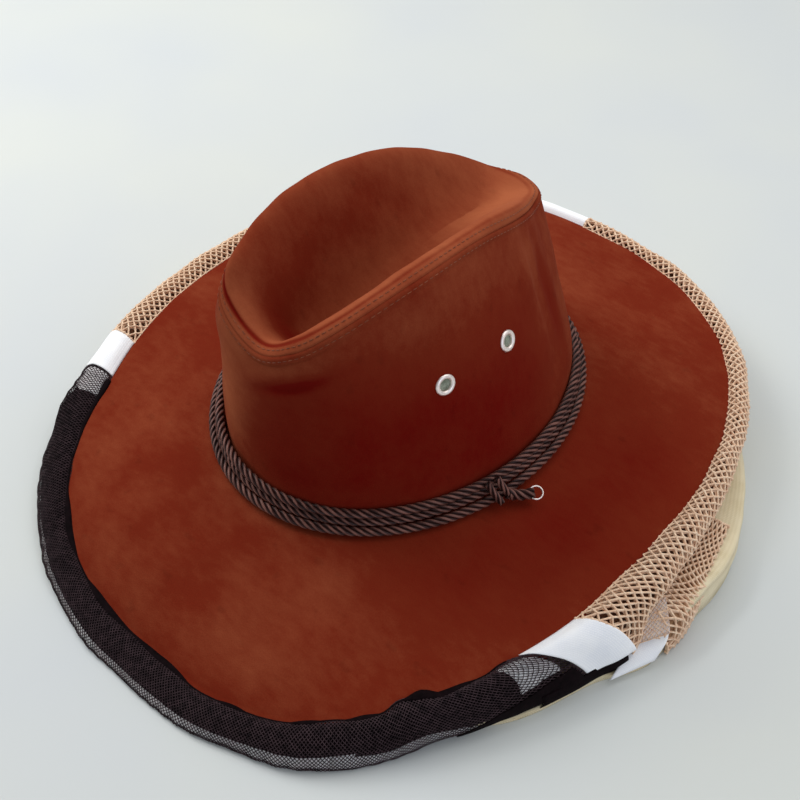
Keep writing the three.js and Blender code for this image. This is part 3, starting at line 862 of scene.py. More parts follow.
@dataclass(frozen=True)
class WaxedCord(Finish):
    """Twisted cord of waxed yarn, with painted shade in the grooves and a painted highlight along the top of each
    strand.
    """

    name: str = "cord_waxed_twisted"
    # deep paints the shade in the grooves and light the highlight on top of each strand; middle lies between.
    deep: str = "#1E0806"
    middle: str = "#34140F"
    light: str = "#7E5348"
    yarn_mm: float = 0.5
    worn_mm: float = 9

    def paint(self, tree: NodeTree) -> None:
        """Draw yarns along the strands, with a painted highlight on top of each strand, and lighter where the cord
        is worn.

        Args:
            tree: The node tree.
        """
        strand_highlight_and_shade = add_node(tree, "ShaderNodeAttribute", attribute_name="strand_highlight_and_shade").outputs["Fac"]
        yarn = self.clouds(tree, self.yarn_mm, 2, (0.15, 1.0, 1.0), "UV")
        worn = self.clouds(tree, self.worn_mm, 2)
        level = self.stirred(tree, strand_highlight_and_shade, ((yarn, 0.5), (worn, 0.5)))
        colour = add_node(tree, "ShaderNodeValToRGB", {"Fac": level},
                          ((0.4, self.deep), (0.8, self.middle), (1.08, self.light)))
        self.dress(tree, {"Base Color": colour.outputs["Color"], "Roughness": 0.5, "Specular IOR Level": 0.3,
                          "Sheen Weight": 0.03, "Sheen Tint": linear("#C7A59C")}, yarn, 0.35, 0.15)


@dataclass(frozen=True)
class PlatedBrass(Finish):
    """Rolled and nickel-plated brass: bright, with fine rub marks."""

    name: str = "brass_nickel_plated"
    tint: str = "#FDF0EA"
    rub_mm: float = 0.5

    def paint(self, tree: NodeTree) -> None:
        """Rub the plating unevenly.

        Args:
            tree: The node tree.
        """
        rubs = self.clouds(tree, self.rub_mm, 3)
        rough = add_node(tree, "ShaderNodeMapRange", {"Value": rubs, "To Min": 0.32, "To Max": 0.5})
        self.dress(tree, {"Base Color": linear(self.tint), "Metallic": 1.0, "Roughness": rough.outputs["Result"]},
                   rubs, 0.15, 0.1)


@dataclass(frozen=True)
class SpunYarn(Finish):
    """Spun or knitted yarn in one colour, matt, with a soft mottle and fluff."""

    deep: str
    light: str
    roughness: float = 0.8
    mottle_mm: float = 3.0
    fibre_mm: float = 0.3
    sheen: float = 0.1
    specular: float = 0.3

    def paint(self, tree: NodeTree) -> None:
        """Mottle the yarn and raise its fibres.

        Args:
            tree: The node tree.
        """
        mottle = self.clouds(tree, self.mottle_mm, 3)
        fibre = self.clouds(tree, self.fibre_mm, 2)
        mixed = add_node(tree, "ShaderNodeMath", {0: fibre, 1: 0.4, 2: mottle}, operation="MULTIPLY_ADD")
        colour = add_node(tree, "ShaderNodeValToRGB", {"Fac": mixed.outputs[0]},
                          ((0.45, self.deep), (0.95, self.light)))
        self.dress(tree, {"Base Color": colour.outputs["Color"], "Roughness": self.roughness,
                          "Specular IOR Level": self.specular, "Sheen Weight": self.sheen}, fibre, 0.5, 0.15)


@dataclass(frozen=True)
class WovenCloth(Finish):
    """Plain-woven cloth: threads over and under at a real spacing, drawn coarse enough to show."""

    deep: str
    light: str
    thread_mm: float = 0.8
    roughness: float = 0.85
    bump_mm: float = 0.12
    mottle_mm: float = 14
    wave_span: float = 6.283

    def paint(self, tree: NodeTree) -> None:
        """Cross two sets of waves for the threads, each wave about two threads long.

        Args:
            tree: The node tree.
        """
        cloth = add_node(tree, "ShaderNodeTexCoord").outputs["UV"]
        inputs = {"Vector": cloth, "Scale": 1 / (self.thread_mm * MM) / self.wave_span, "Distortion": 0.6,
                  "Detail": 1.0, "Detail Scale": 0.6}
        warp, weft = (add_node(tree, "ShaderNodeTexWave", inputs, bands_direction=way).outputs["Fac"]
                      for way in ("X", "Y"))
        weave = add_node(tree, "ShaderNodeMath", {0: warp, 1: weft}, operation="MULTIPLY").outputs[0]
        mottle = self.clouds(tree, self.mottle_mm, 3)
        mixed = add_node(tree, "ShaderNodeMath", {0: weave, 1: 0.35, 2: mottle}, operation="MULTIPLY_ADD")
        colour = add_node(tree, "ShaderNodeValToRGB", {"Fac": mixed.outputs[0]},
                          ((0.3, self.deep), (0.75, self.light)))
        self.dress(tree, {"Base Color": colour.outputs["Color"], "Roughness": self.roughness,
                          "Specular IOR Level": 0.3, "Sheen Weight": 0.1}, weave, 0.6, self.bump_mm)


@dataclass(frozen=True)
class TableTop(Finish):
    """Matt pale laminate: nearly even, with broad clouds too soft to notice."""

    name: str = "table_pale_laminate"
    deep: str = "#CFD3D4"
    light: str = "#D5D8D3"
    cloud_mm: float = 180

    def paint(self, tree: NodeTree) -> None:
        """Cloud the laminate softly.

        Args:
            tree: The node tree.
        """
        colour = add_node(tree, "ShaderNodeValToRGB", {"Fac": self.clouds(tree, self.cloud_mm, 2)},
                          ((0.3, self.deep), (0.7, self.light)))
        self.dress(tree, {"Base Color": colour.outputs["Color"], "Roughness": 0.7, "Specular IOR Level": 0.3})


# Geometry Nodes


class NodeBuilder:
    """Builds a Geometry Nodes tree with named inputs and applies it to an object."""

    def __init__(self, name: str, sizes: dict[str, float]) -> None:
        """Start a tree.

        Args:
            name: Name of the tree.
            sizes: Named inputs with their values, in metres or plain numbers.
        """
        self.tree = bpy.data.node_groups.new(name, "GeometryNodeTree")
        self.tree.interface.new_socket("Geometry", in_out="INPUT", socket_type="NodeSocketGeometry")
        self.sizes = sizes
        for key in sizes:
            self.tree.interface.new_socket(key, in_out="INPUT", socket_type="NodeSocketFloat")
        self.tree.interface.new_socket("Geometry", in_out="OUTPUT", socket_type="NodeSocketGeometry")
        self.source = self.tree.nodes.new("NodeGroupInput").outputs

    def add(self, kind: str, inputs: dict[Any, Any] | None = None, **settings: Any) -> Node:
        """Add a node to the tree."""
        return add_node(self.tree, kind, inputs, **settings)

    def finish(self, geometry: NodeSocket, material: Material) -> None:
        """End the tree in Realize Instances and Set Material.

        Args:
            geometry: What the tree has made.
            material: Its material.
        """
        real = self.add("GeometryNodeRealizeInstances", {"Geometry": geometry})
        shade = self.add("GeometryNodeSetShadeSmooth", {"Geometry": real.outputs["Geometry"]})
        dressed = self.add("GeometryNodeSetMaterial", {"Geometry": shade.outputs["Geometry"],
                                                       "Material": material})
        self.add("NodeGroupOutput", {"Geometry": dressed.outputs["Geometry"]})

    def apply(self, carrier: Object, name: str) -> Object:
        """Run the tree on a carrier object and keep the result as a plain mesh object.

        Args:
            carrier: Object whose mesh the tree reads; it is removed afterwards.
            name: Name of the new piece.

        Returns:
            The new object.
        """
        modifier = carrier.modifiers.new(name, "NODES")
        modifier.node_group = self.tree
        for item in self.tree.interface.items_tree:
            if item.in_out == "INPUT" and item.name in self.sizes:
                modifier[item.identifier] = float(self.sizes[item.name])
        made = add_object(name, evaluated_mesh(carrier))
        made.data.name = name
        old = carrier.data
        bpy.data.objects.remove(carrier)
        bpy.data.meshes.remove(old)
        return made


def strand_net(name: str, points: np.ndarray, edges: np.ndarray, radius: float, knot: float, sides: int,
               material: Material) -> Object:
    """Turn a lattice of edges into strands with a small knot at each crossing.

    Args:
        name: Name of the piece.
        points: Crossings, in millimetres.
        edges: Pairs of crossings that a strand joins.
        radius: Radius of a strand, in millimetres.
        knot: Radius of a knot, in millimetres, or 0 for none.
        sides: Sides of a strand.
        material: The net's material.

    Returns:
        The net as one object.
    """
    sizes = {"Strand Radius": radius * MM, "Knot Radius": knot * MM}
    nodes = NodeBuilder(name + "_strands", sizes)
    lines = nodes.add("GeometryNodeMeshToCurve", {"Mesh": nodes.source["Geometry"]})
    ring = nodes.add("GeometryNodeCurvePrimitiveCircle", {"Resolution": sides,
                                                         "Radius": nodes.source["Strand Radius"]})
    tubes = nodes.add("GeometryNodeCurveToMesh", {"Curve": lines.outputs["Curve"],
                                                  "Profile Curve": ring.outputs["Curve"]})
    geometry = tubes.outputs["Mesh"]
    if knot:
        ball = nodes.add("GeometryNodeMeshIcoSphere", {"Radius": nodes.source["Knot Radius"],
                                                       "Subdivisions": 1})
        placed = nodes.add("GeometryNodeInstanceOnPoints", {"Points": nodes.source["Geometry"],
                                                            "Instance": ball.outputs["Mesh"]})
        both = nodes.add("GeometryNodeJoinGeometry", {"Geometry": placed.outputs["Instances"]})
        nodes.tree.links.new(geometry, both.inputs["Geometry"])
        geometry = both.outputs["Geometry"]
    nodes.finish(geometry, material)
    carrier = new_object(name + "_lattice", points, [], None, edges=edges.tolist())
    return nodes.apply(carrier, name)


def stitch_row(name: str, points: np.ndarray, pitch: float, length: float, thick: float,
               material: Material) -> Object:
    """Lay stitches along a ring of points.

    Args:
        name: Name of the piece.
        points: The ring, in millimetres.
        pitch: Distance from stitch to stitch.
        length: Length of one stitch.
        thick: Thickness of the thread.
        material: The thread's material.

    Returns:
        The stitches as one object.
    """
    sizes = {"Pitch": pitch * MM, "Length": length * MM, "Thread Radius": thick * MM / 2}
    nodes = NodeBuilder(name + "_row", sizes)
    line = nodes.add("GeometryNodeMeshToCurve", {"Mesh": nodes.source["Geometry"]})
    spots = nodes.add("GeometryNodeCurveToPoints", {"Curve": line.outputs["Curve"],
                                                    "Length": nodes.source["Pitch"]}, mode="LENGTH")
    grain = nodes.add("GeometryNodeMeshUVSphere", {"Segments": 8, "Rings": 6,
                                                   "Radius": nodes.source["Thread Radius"]})
    slim = nodes.add("ShaderNodeMath", {0: nodes.source["Length"], 1: nodes.source["Thread Radius"]},
                     operation="DIVIDE")
    half = nodes.add("ShaderNodeMath", {0: slim.outputs[0], 1: 0.5}, operation="MULTIPLY")
    scale = nodes.add("ShaderNodeCombineXYZ", {"X": 1.0, "Y": 1.0, "Z": half.outputs[0]})
    placed = nodes.add("GeometryNodeInstanceOnPoints", {
        "Points": spots.outputs["Points"], "Instance": grain.outputs["Mesh"],
        "Rotation": spots.outputs["Rotation"], "Scale": scale.outputs["Vector"]})
    nodes.finish(placed.outputs["Instances"], material)
    count = len(points)
    edges = [(k, (k + 1) % count) for k in range(count)]
    carrier = new_object(name + "_line", points, [], None, edges=edges)
    return nodes.apply(carrier, name)


def joined(name: str, objects: Sequence[Object]) -> Object:
    """Join some mesh objects into one.

    Args:
        name: Name of the joined piece.
        objects: The objects to join.

    Returns:
        The first object, with the others in it.
    """
    if len(objects) > 1:
        chosen = list(objects)
        with bpy.context.temp_override(active_object=chosen[0], selected_editable_objects=chosen,
                                       selected_objects=chosen):
            bpy.ops.object.join()
    objects[0].name = name
    objects[0].data.name = name
    return objects[0]


def hand_over(piece: Object, slot: Slot, *nodes: str) -> None:
    """Ride a piece on the hat and let it replace its solids.

    Args:
        piece: The piece.
        slot: Its material slot; not used.
        nodes: The solids that it replaces.
    """
    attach(piece, "root")
    if nodes:
        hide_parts(*nodes)
    LOG.info("%s: %d triangles", piece.name, sum(len(p.vertices) - 2 for p in piece.data.polygons))


# The hat's sub-assemblies


def suede_wall(name: str, outer: np.ndarray, inner: np.ndarray, pile_and_shade: np.ndarray, suede: Material) -> Object:
    """Make a ring-shaped wall of suede.

    Args:
        name: Name of the piece.
        outer: Grid of outer points.
        inner: Grid of inner points, of the same size.
        pile_and_shade: Level of nap tone and painted light and shade at each point of the grid.
        suede: The suede cloth.

    Returns:
        The new object.
    """
    made = shell(name, outer, inner, True, suede)
    set_attribute(made, "pile_and_shade", np.tile(pile_and_shade.ravel(), 2))
    return made


@dataclass
class EyeletSeat:
    """Place and axis of a turned body, such as an eyelet on the side wall."""

    name: str
    centre: np.ndarray
    outward: np.ndarray

    def axes(self) -> tuple[np.ndarray, np.ndarray]:
        """Two directions square to the seat's axis."""
        side = unit(np.cross(self.outward, UP))
        return side, np.cross(self.outward, side)

    def turned(self, name: str, profile: Sequence[tuple[float, float]], sides: int,
               material: Material | None = None, capped: bool = False) -> Object:
        """Turn a profile round the seat's axis.

        Args:
            name: Name of the body.
            profile: Radius and height of each point.
            sides: Steps round the axis.
            material: The body's material.
            capped: Whether flat caps close both ends, on a body with plain sides.

        Returns:
            The body as one object.
        """
        side, other = self.axes()
        a = np.linspace(0, FULL_TURN, sides, endpoint=False)[:, None]
        rows = np.array([self.centre + self.outward * h + r * (np.cos(a) * side + np.sin(a) * other)
                         for r, h in profile])
        faces = grid_faces(len(profile), sides, True).tolist()
        if capped:
            last = (len(profile) - 1) * sides
            faces += [list(range(sides))[::-1], list(range(last, last + sides))]
        made = new_object(name, rows.reshape(-1, 3), faces, material, smooth=not capped)
        fix_normals(made)
        return made


@dataclass
class Crown:
    """Side wall and top panel of the crown, with the seam and its stitches."""

    thick: float = 2.0
    columns: int = 420
    wall_rows: int = 66
    top_rows: int = 64
    seam_gap: float = 0.15
    welt_low: float = 4.2
    stitch_pitch: float = 3.4
    stitch_length: float = 2.5
    stitch_thick: float = 0.42
    eyelet_bore: float = 3.7
    bore_half: float = 8
    bore_sides: int = 32
    wall_split: float = 0.92
    seam_rows: int = 22
    top_split: float = 0.86
    rim_rows: int = 24
    wall_radius: float = 95
    top_radius: float = 55
    wall_pile: float = 0.52
    top_pile: float = 0.62
    seam_depth: float = 0.8
    seam_width: float = 0.6
    calm_width: float = 3.5
    top_groove: float = 6
    spine_merge: float = 2e-5
    stitch_lift: float = 0.12
    stitch_lines: tuple[float, float] = (3.0, 3.6)
    # Spots of the wall's colour level: painted shade low and in the middle on the wearer's left front, which faces
    # away from the key light, and in the crease at turn 20; painted light on the front of the wearer's right, near
    # the front seam and along the ridge above the crease; painted light and shade in streaks beside the folds at
    # the back on the wearer's left.
    wall_painted_light_and_shade: tuple[Spot, ...] = (
        Spot(48, 34, 70, 46, -0.30),
        Spot(55, 72, 80, 26, -0.16),
        Spot(88, 40, 34, 36, -0.20),
        Spot(12, 34, 26, 24, -0.20),
        Spot(20, 88.5, 24, 3.4, -0.5, 0.33),
        Spot(14, 96, 26, 4, 0.14, 0.33),
        Spot(-22, 60, 24, 44, 0.34),
        Spot(-5, 96, 30, 8, 0.12),
        Spot(112, 86, 9, 28, 0.14),
        Spot(122, 60, 8, 30, -0.16),
        Spot(75, 108, 40, 12, 0.02),
    )
    # Spots of the top panel's colour level: painted light along the crest just inside the seam and at the back of
    # the hollow; painted shade in the front of the hollow and on both of its sides.
    top_painted_light_and_shade: tuple[Spot, ...] = (
        Spot(45, 9, 40, 6, 0.12),
        Spot(90, 10, 50, 7, 0.08),
        Spot(-15, 10, 30, 10, 0.16),
        Spot(5, 34, 34, 12, -0.50),
        Spot(-60, 26, 50, 16, -0.16),
        Spot(-100, 20, 30, 20, -0.04),
        Spot(150, 20, 44, 24, 0.36),
        Spot(-160, 12, 60, 12, 0.04),
        Spot(60, 28, 50, 10, -0.2),
    )
    dents: tuple[Spot, ...] = (
        Spot(-48, 90, 30, 15, -3.6),
        Spot(118, 78, 16, 30, 1.6),
        Spot(20, 88.5, 23, 2.3, 1.7, 0.33),
        Spot(18, 94.5, 24, 4.5, -0.7, 0.33),
        Spot(113, 84, 5, 34, 1.3, -0.1),
        Spot(121, 70, 5, 30, 1.2, -0.1),
        Spot(100, 92, 6, 24, 0.8, -0.1),
        Spot(132, 60, 8, 30, 1.0),
        Spot(60, 40, 40, 16, 0.9),
        Spot(-40, 60, 26, 30, 1.0),
        Spot(-115, 70, 9, 34, 1.2, 0.1),
        Spot(-75, 45, 34, 18, 0.9),
        Spot(170, 50, 20, 24, 1.0),
    )

    def wall_sheet(self) -> tuple[Sheet, np.ndarray]:
        """Fine grid of the side wall with its dents and seam strip.

        Returns:
            The sheet, and the level of nap tone and painted light and shade at its points.
        """
        plain = np.linspace(0, 1, self.wall_rows) * self.wall_split
        level = np.concatenate([plain, np.linspace(self.wall_split, 1, self.seam_rows)[1:]])
        t, v = np.meshgrid(np.linspace(0, 360, self.columns, endpoint=False), level)
        sheet = Sheet(FORM.wall(t, v), ring=True)
        height = v * FORM.seam(t)["seam"]
        below = np.linalg.norm(sheet.points - sheet.points[-1:], axis=-1)
        lift = 0.7 * soft_noise(sheet.points, 42, 3) + 0.25 * soft_noise(sheet.points, 15, 4)
        lift -= spread(self.dents, t, height, self.wall_radius)
        lift *= (1 - hump(v, 0.05)) * (1 - hump(below, self.calm_width))
        front = hump(wrap(t), 75)
        lift += (0.3 + 0.4 * front) * hump(below - 0.55 * self.welt_low, 0.45 * self.welt_low)
        lift -= (0.25 + 0.45 * front) * hump(below - self.welt_low - 0.5, 0.8)
        lift -= self.seam_depth * hump(below, self.seam_width)
        pile_and_shade = self.wall_pile + spread(self.wall_painted_light_and_shade, t, height, self.wall_radius)
        return Sheet(sheet.lifted(lift), ring=True), pile_and_shade

    def top_sheet(self) -> tuple[Sheet, np.ndarray]:
        """Fine grid of the top panel from the seam to the spine of the hollow.

        Returns:
            The sheet, and the level of nap tone and painted light and shade at its points.
        """
        level = np.concatenate([np.linspace(1, self.top_split, self.rim_rows),
                                np.linspace(self.top_split, 0, self.top_rows)[1:]])
        t, v = np.meshgrid(np.linspace(0, 360, self.columns, endpoint=False), level)
        sheet = Sheet(FORM.top(t, v), ring=True)
        inside = np.linalg.norm(sheet.points - sheet.points[:1], axis=-1)
        away = np.clip(v / 0.3, 0, 1) * (1 - hump(inside, self.calm_width))
        lift = (0.8 * soft_noise(sheet.points, 34, 8) + 0.25 * soft_noise(sheet.points, 13, 9)) * away
        lift -= self.seam_depth * hump(inside, self.seam_width)
        left = hump(wrap(t) + 50, 75)
        lift -= (0.2 + 0.4 * left) * hump(inside - self.top_groove, 0.9)
        pile_and_shade = self.top_pile + spread(self.top_painted_light_and_shade, t, inside, self.top_radius)
        # Painted shade along the groove inside the seam, strongest round turn -50.
        pile_and_shade -= (0.16 + 0.6 * left) * hump(inside - self.top_groove, 1.2)
        return Sheet(sheet.lifted(lift), ring=True), pile_and_shade

    def bored(self, piece: Object, seats: Sequence[EyeletSeat]) -> None:
        """Cut the eyelets' holes through the side wall.

        Args:
            piece: The side wall.
            seats: Where the eyelets sit.
        """
        rod = [(self.eyelet_bore, self.bore_half), (self.eyelet_bore, -self.bore_half)]
        for seat in seats:
            cutter = seat.turned("bore", rod, self.bore_sides, capped=True)
            cut = piece.modifiers.new("bore", "BOOLEAN")
            cut.operation, cut.object, cut.solver = "DIFFERENCE", cutter, "EXACT"
            mesh = evaluated_mesh(piece)
            piece.modifiers.remove(cut)
            old, piece.data = piece.data, mesh
            bpy.data.meshes.remove(old)
            bpy.data.objects.remove(cutter)

    def build(self, suede: Material, thread: Material, seats: Sequence[EyeletSeat]) -> None:
        """Build the wall, the top and the stitches.

        Args:
            suede: The suede cloth.
            thread: The sewing thread.
            seats: Where the eyelets sit.
        """
        wall, pile_and_shade = self.wall_sheet()
        outer, inner = wall.points.copy(), wall.lifted(-self.thick)
        outer[-1, :, 2] -= 0.5 * self.seam_gap
        outer[0, :, 2] = inner[0, :, 2] = FORM.base_height - FORM.brim_thick
        side = suede_wall("crown_side_wall", outer, inner, pile_and_shade, suede)
        self.bored(side, seats)
        hand_over(side, Slot.SUEDE, "crown_side")

        top, pile_and_shade = self.top_sheet()
        panel = suede_wall("crown_top_panel", top.points, top.lifted(-self.thick), pile_and_shade, suede)
        fix_normals(panel, self.spine_merge)
        hand_over(panel, Slot.SUEDE, "crown_top")

        for name, sheet, distance in zip(("stitch_row_low", "stitch_row_high"), (wall, top), self.stitch_lines):
            line = self.line_at(sheet, distance, sheet is wall)
            row = stitch_row(name, line, self.stitch_pitch, self.stitch_length, self.stitch_thick, thread)
            hand_over(row, Slot.SUEDE)

    def line_at(self, sheet: Sheet, distance: float, from_last: bool) -> np.ndarray:
        """Line just above a sheet, at a distance from its seam row.

        Args:
            sheet: The sheet.
            distance: Distance from the seam, over the surface.
            from_last: Whether the seam is the sheet's last row.

        Returns:
            A point for each column.
        """
        order = slice(None, None, -1 if from_last else 1)
        line = []
        for points, normals in zip(sheet.points[order].swapaxes(0, 1), sheet.normals[order].swapaxes(0, 1)):
            along = run_of(points)
            place = np.array([np.interp(distance, along, points[:, k]) for k in range(3)])
            line.append(place + normals[np.searchsorted(along, distance)] * self.stitch_lift)
        return np.array(line)


@dataclass
class Eyelets:
    """Rolled metal vent eyelets, two on each side of the crown."""

    flange: float = 5.6
    hole: float = 3.15
    barrel: float = 3.4
    height: float = 78
    places: tuple[float, float] = (-43.5, -0.5)
    screen_pitch: float = 0.75
    screen_depth: float = -0.3
    sides: int = 48
    wire: float = 0.13
    disc: tuple[float, float] = (-0.25, -0.6)
    disc_hole: float = 0.02

    def seats(self) -> list[EyeletSeat]:
        """Find the four seats on the wall.

        Returns:
            The left seats and then the right ones, front first.
        """
        found = []
        fine = np.linspace(0, 180, 3601)
        wall_y = FORM.wall(fine, self.height / FORM.seam(fine)["seam"])[:, 1]
        for side_name, side in (("left", 1), ("right", -1)):
            for where, y in zip(("front", "rear"), self.places):
                turn = side * fine[np.argmin(np.abs(wall_y - y))]
                level = self.height / FORM.seam(np.array([turn]))["seam"][0]
                p = FORM.wall(turn + np.array([0, 1, -1, 0, 0]), level + np.array([0, 0, 0, 0.02, -0.02]))
                outward = unit(np.cross(p[1] - p[2], p[3] - p[4]))
                found.append(EyeletSeat(f"eyelet_{side_name}_{where}", p[0], outward))
        return found

    def profile(self) -> list[tuple[float, float]]:
        """Rolled section of an eyelet and its washer.

        Returns:
            Radius and height of each point.
        """
        middle, half = (self.flange + self.hole) / 2, (self.flange - self.hole) / 2
        neck = self.barrel + 0.1
        front = [(middle + half * math.cos(a), 0.45 + 0.95 * math.sin(a)) for a in np.linspace(0, math.pi, 13)]
        back = [(middle + half * 0.8 * math.cos(a), -2.6 + 0.8 * math.sin(a))
                for a in np.linspace(math.pi, FULL_TURN, 9)]
        return front + [(self.hole, -1.0), (self.hole, -2.4)] + back + [
            (neck, -2.3), (neck, 0.25), (self.flange, 0.25)]

    def screen(self, seat: EyeletSeat, material: Material) -> list[Object]:
        """Build the wire screen inside an eyelet.

        Args:
            seat: Place of the eyelet.
            material: The screen's material.

        Returns:
            The wires and the disc behind them.
        """
        side, other = seat.axes()
        radius = self.hole - 0.05
        points = []
        for along, across in ((side, other), (other, side)):
            for offset in np.arange(-radius + 0.35, radius, self.screen_pitch):
                half = math.sqrt(max(radius**2 - offset**2, 0))
                base = seat.centre + seat.outward * self.screen_depth + across * offset
                points += [base - along * half, base + along * half]
        edges = np.arange(len(points)).reshape(-1, 2)
        wires = strand_net(seat.name + "_wires", np.array(points), edges, self.wire, 0, 5, material)
        front, back = (height + self.screen_depth for height in self.disc)
        profile = [(self.disc_hole, front), (radius, front), (radius, back), (self.disc_hole, back),
                   (self.disc_hole, front)]
        return [wires, seat.turned(seat.name + "_disc", profile, 24, material)]

    def build(self, metal: Material, screen: Material) -> None:
        """Build the four eyelets.

        Args:
            metal: The plated metal.
            screen: The screen's metal.
        """
        profile = self.profile()
        for seat in self.seats():
            name = seat.name + "_rolled"
            made = seat.turned(name, profile + profile[:1], self.sides, metal)
            hand_over(joined(name, [made] + self.screen(seat, screen)), Slot.METAL, seat.name)


@dataclass
class Brim:
    """Wide brim that droops at the front."""

    columns: int = 480
    rows: int = 84
    # Broad lighter and darker patches of the brim's colour level: partly nap tone, partly painted light and shade,
    # darker beside the crown on the wearer's left, away from the key light.
    patches: tuple[Spot, ...] = (
        Spot(-50, 60, 60, 30, 0.06),
        Spot(60, 30, 45, 26, -0.08),
        Spot(95, 40, 60, 34, -0.18),
        Spot(25, 45, 40, 26, 0.12),
        Spot(130, 30, 40, 30, 0.04),
        Spot(-5, 8, 60, 9, 0.1),
        Spot(0, 80, 90, 12, 0.05),
        Spot(180, 40, 60, 30, 0.1),
    )
    tuck: tuple[tuple[float, float], ...] = ((1.5, 0.5), (3, 1.6), (4.5, 3.2), (6, 5.4))
    pile_and_shade: float = 0.455
    pile_radius: float = 120

    def build(self, suede: Material) -> None:
        """Build the brim.

        Args:
            suede: The suede cloth.
        """
        t, v = np.meshgrid(np.linspace(0, 360, self.columns, endpoint=False), np.linspace(0, 1, self.rows))
        upper = FORM.brim(t, v)
        ripple = 0.9 * soft_noise(upper, 55, 21) + 0.3 * soft_noise(upper, 20, 22)
        upper[..., 2] += ripple * np.sin(np.pi * v) ** 0.7
        away = np.linalg.norm(upper - upper[:1], axis=-1)
        pile_and_shade = self.pile_and_shade + spread(self.patches, t, away, self.pile_radius)
        edge, out = FORM.brim_edge(t[0]), FORM.edge_out(t[0])
        upper = np.concatenate([upper, [edge + out * push - UP * drop for push, drop in self.tuck]])
        outer, inner = rounded_rim(upper, upper - UP * FORM.brim_thick)
        pile_and_shade = np.concatenate([pile_and_shade] + [pile_and_shade[-1:]] * (len(outer) - len(pile_and_shade)))
        made = suede_wall("brim_cloth", outer[::-1], inner[::-1], pile_and_shade[::-1], suede)
        fix_normals(made)
        hand_over(made, Slot.SUEDE, "brim")


@dataclass
class BandRow:
    """One turn of cord round the foot of the crown."""

    node: str
    out: float
    up: float
    phase: float


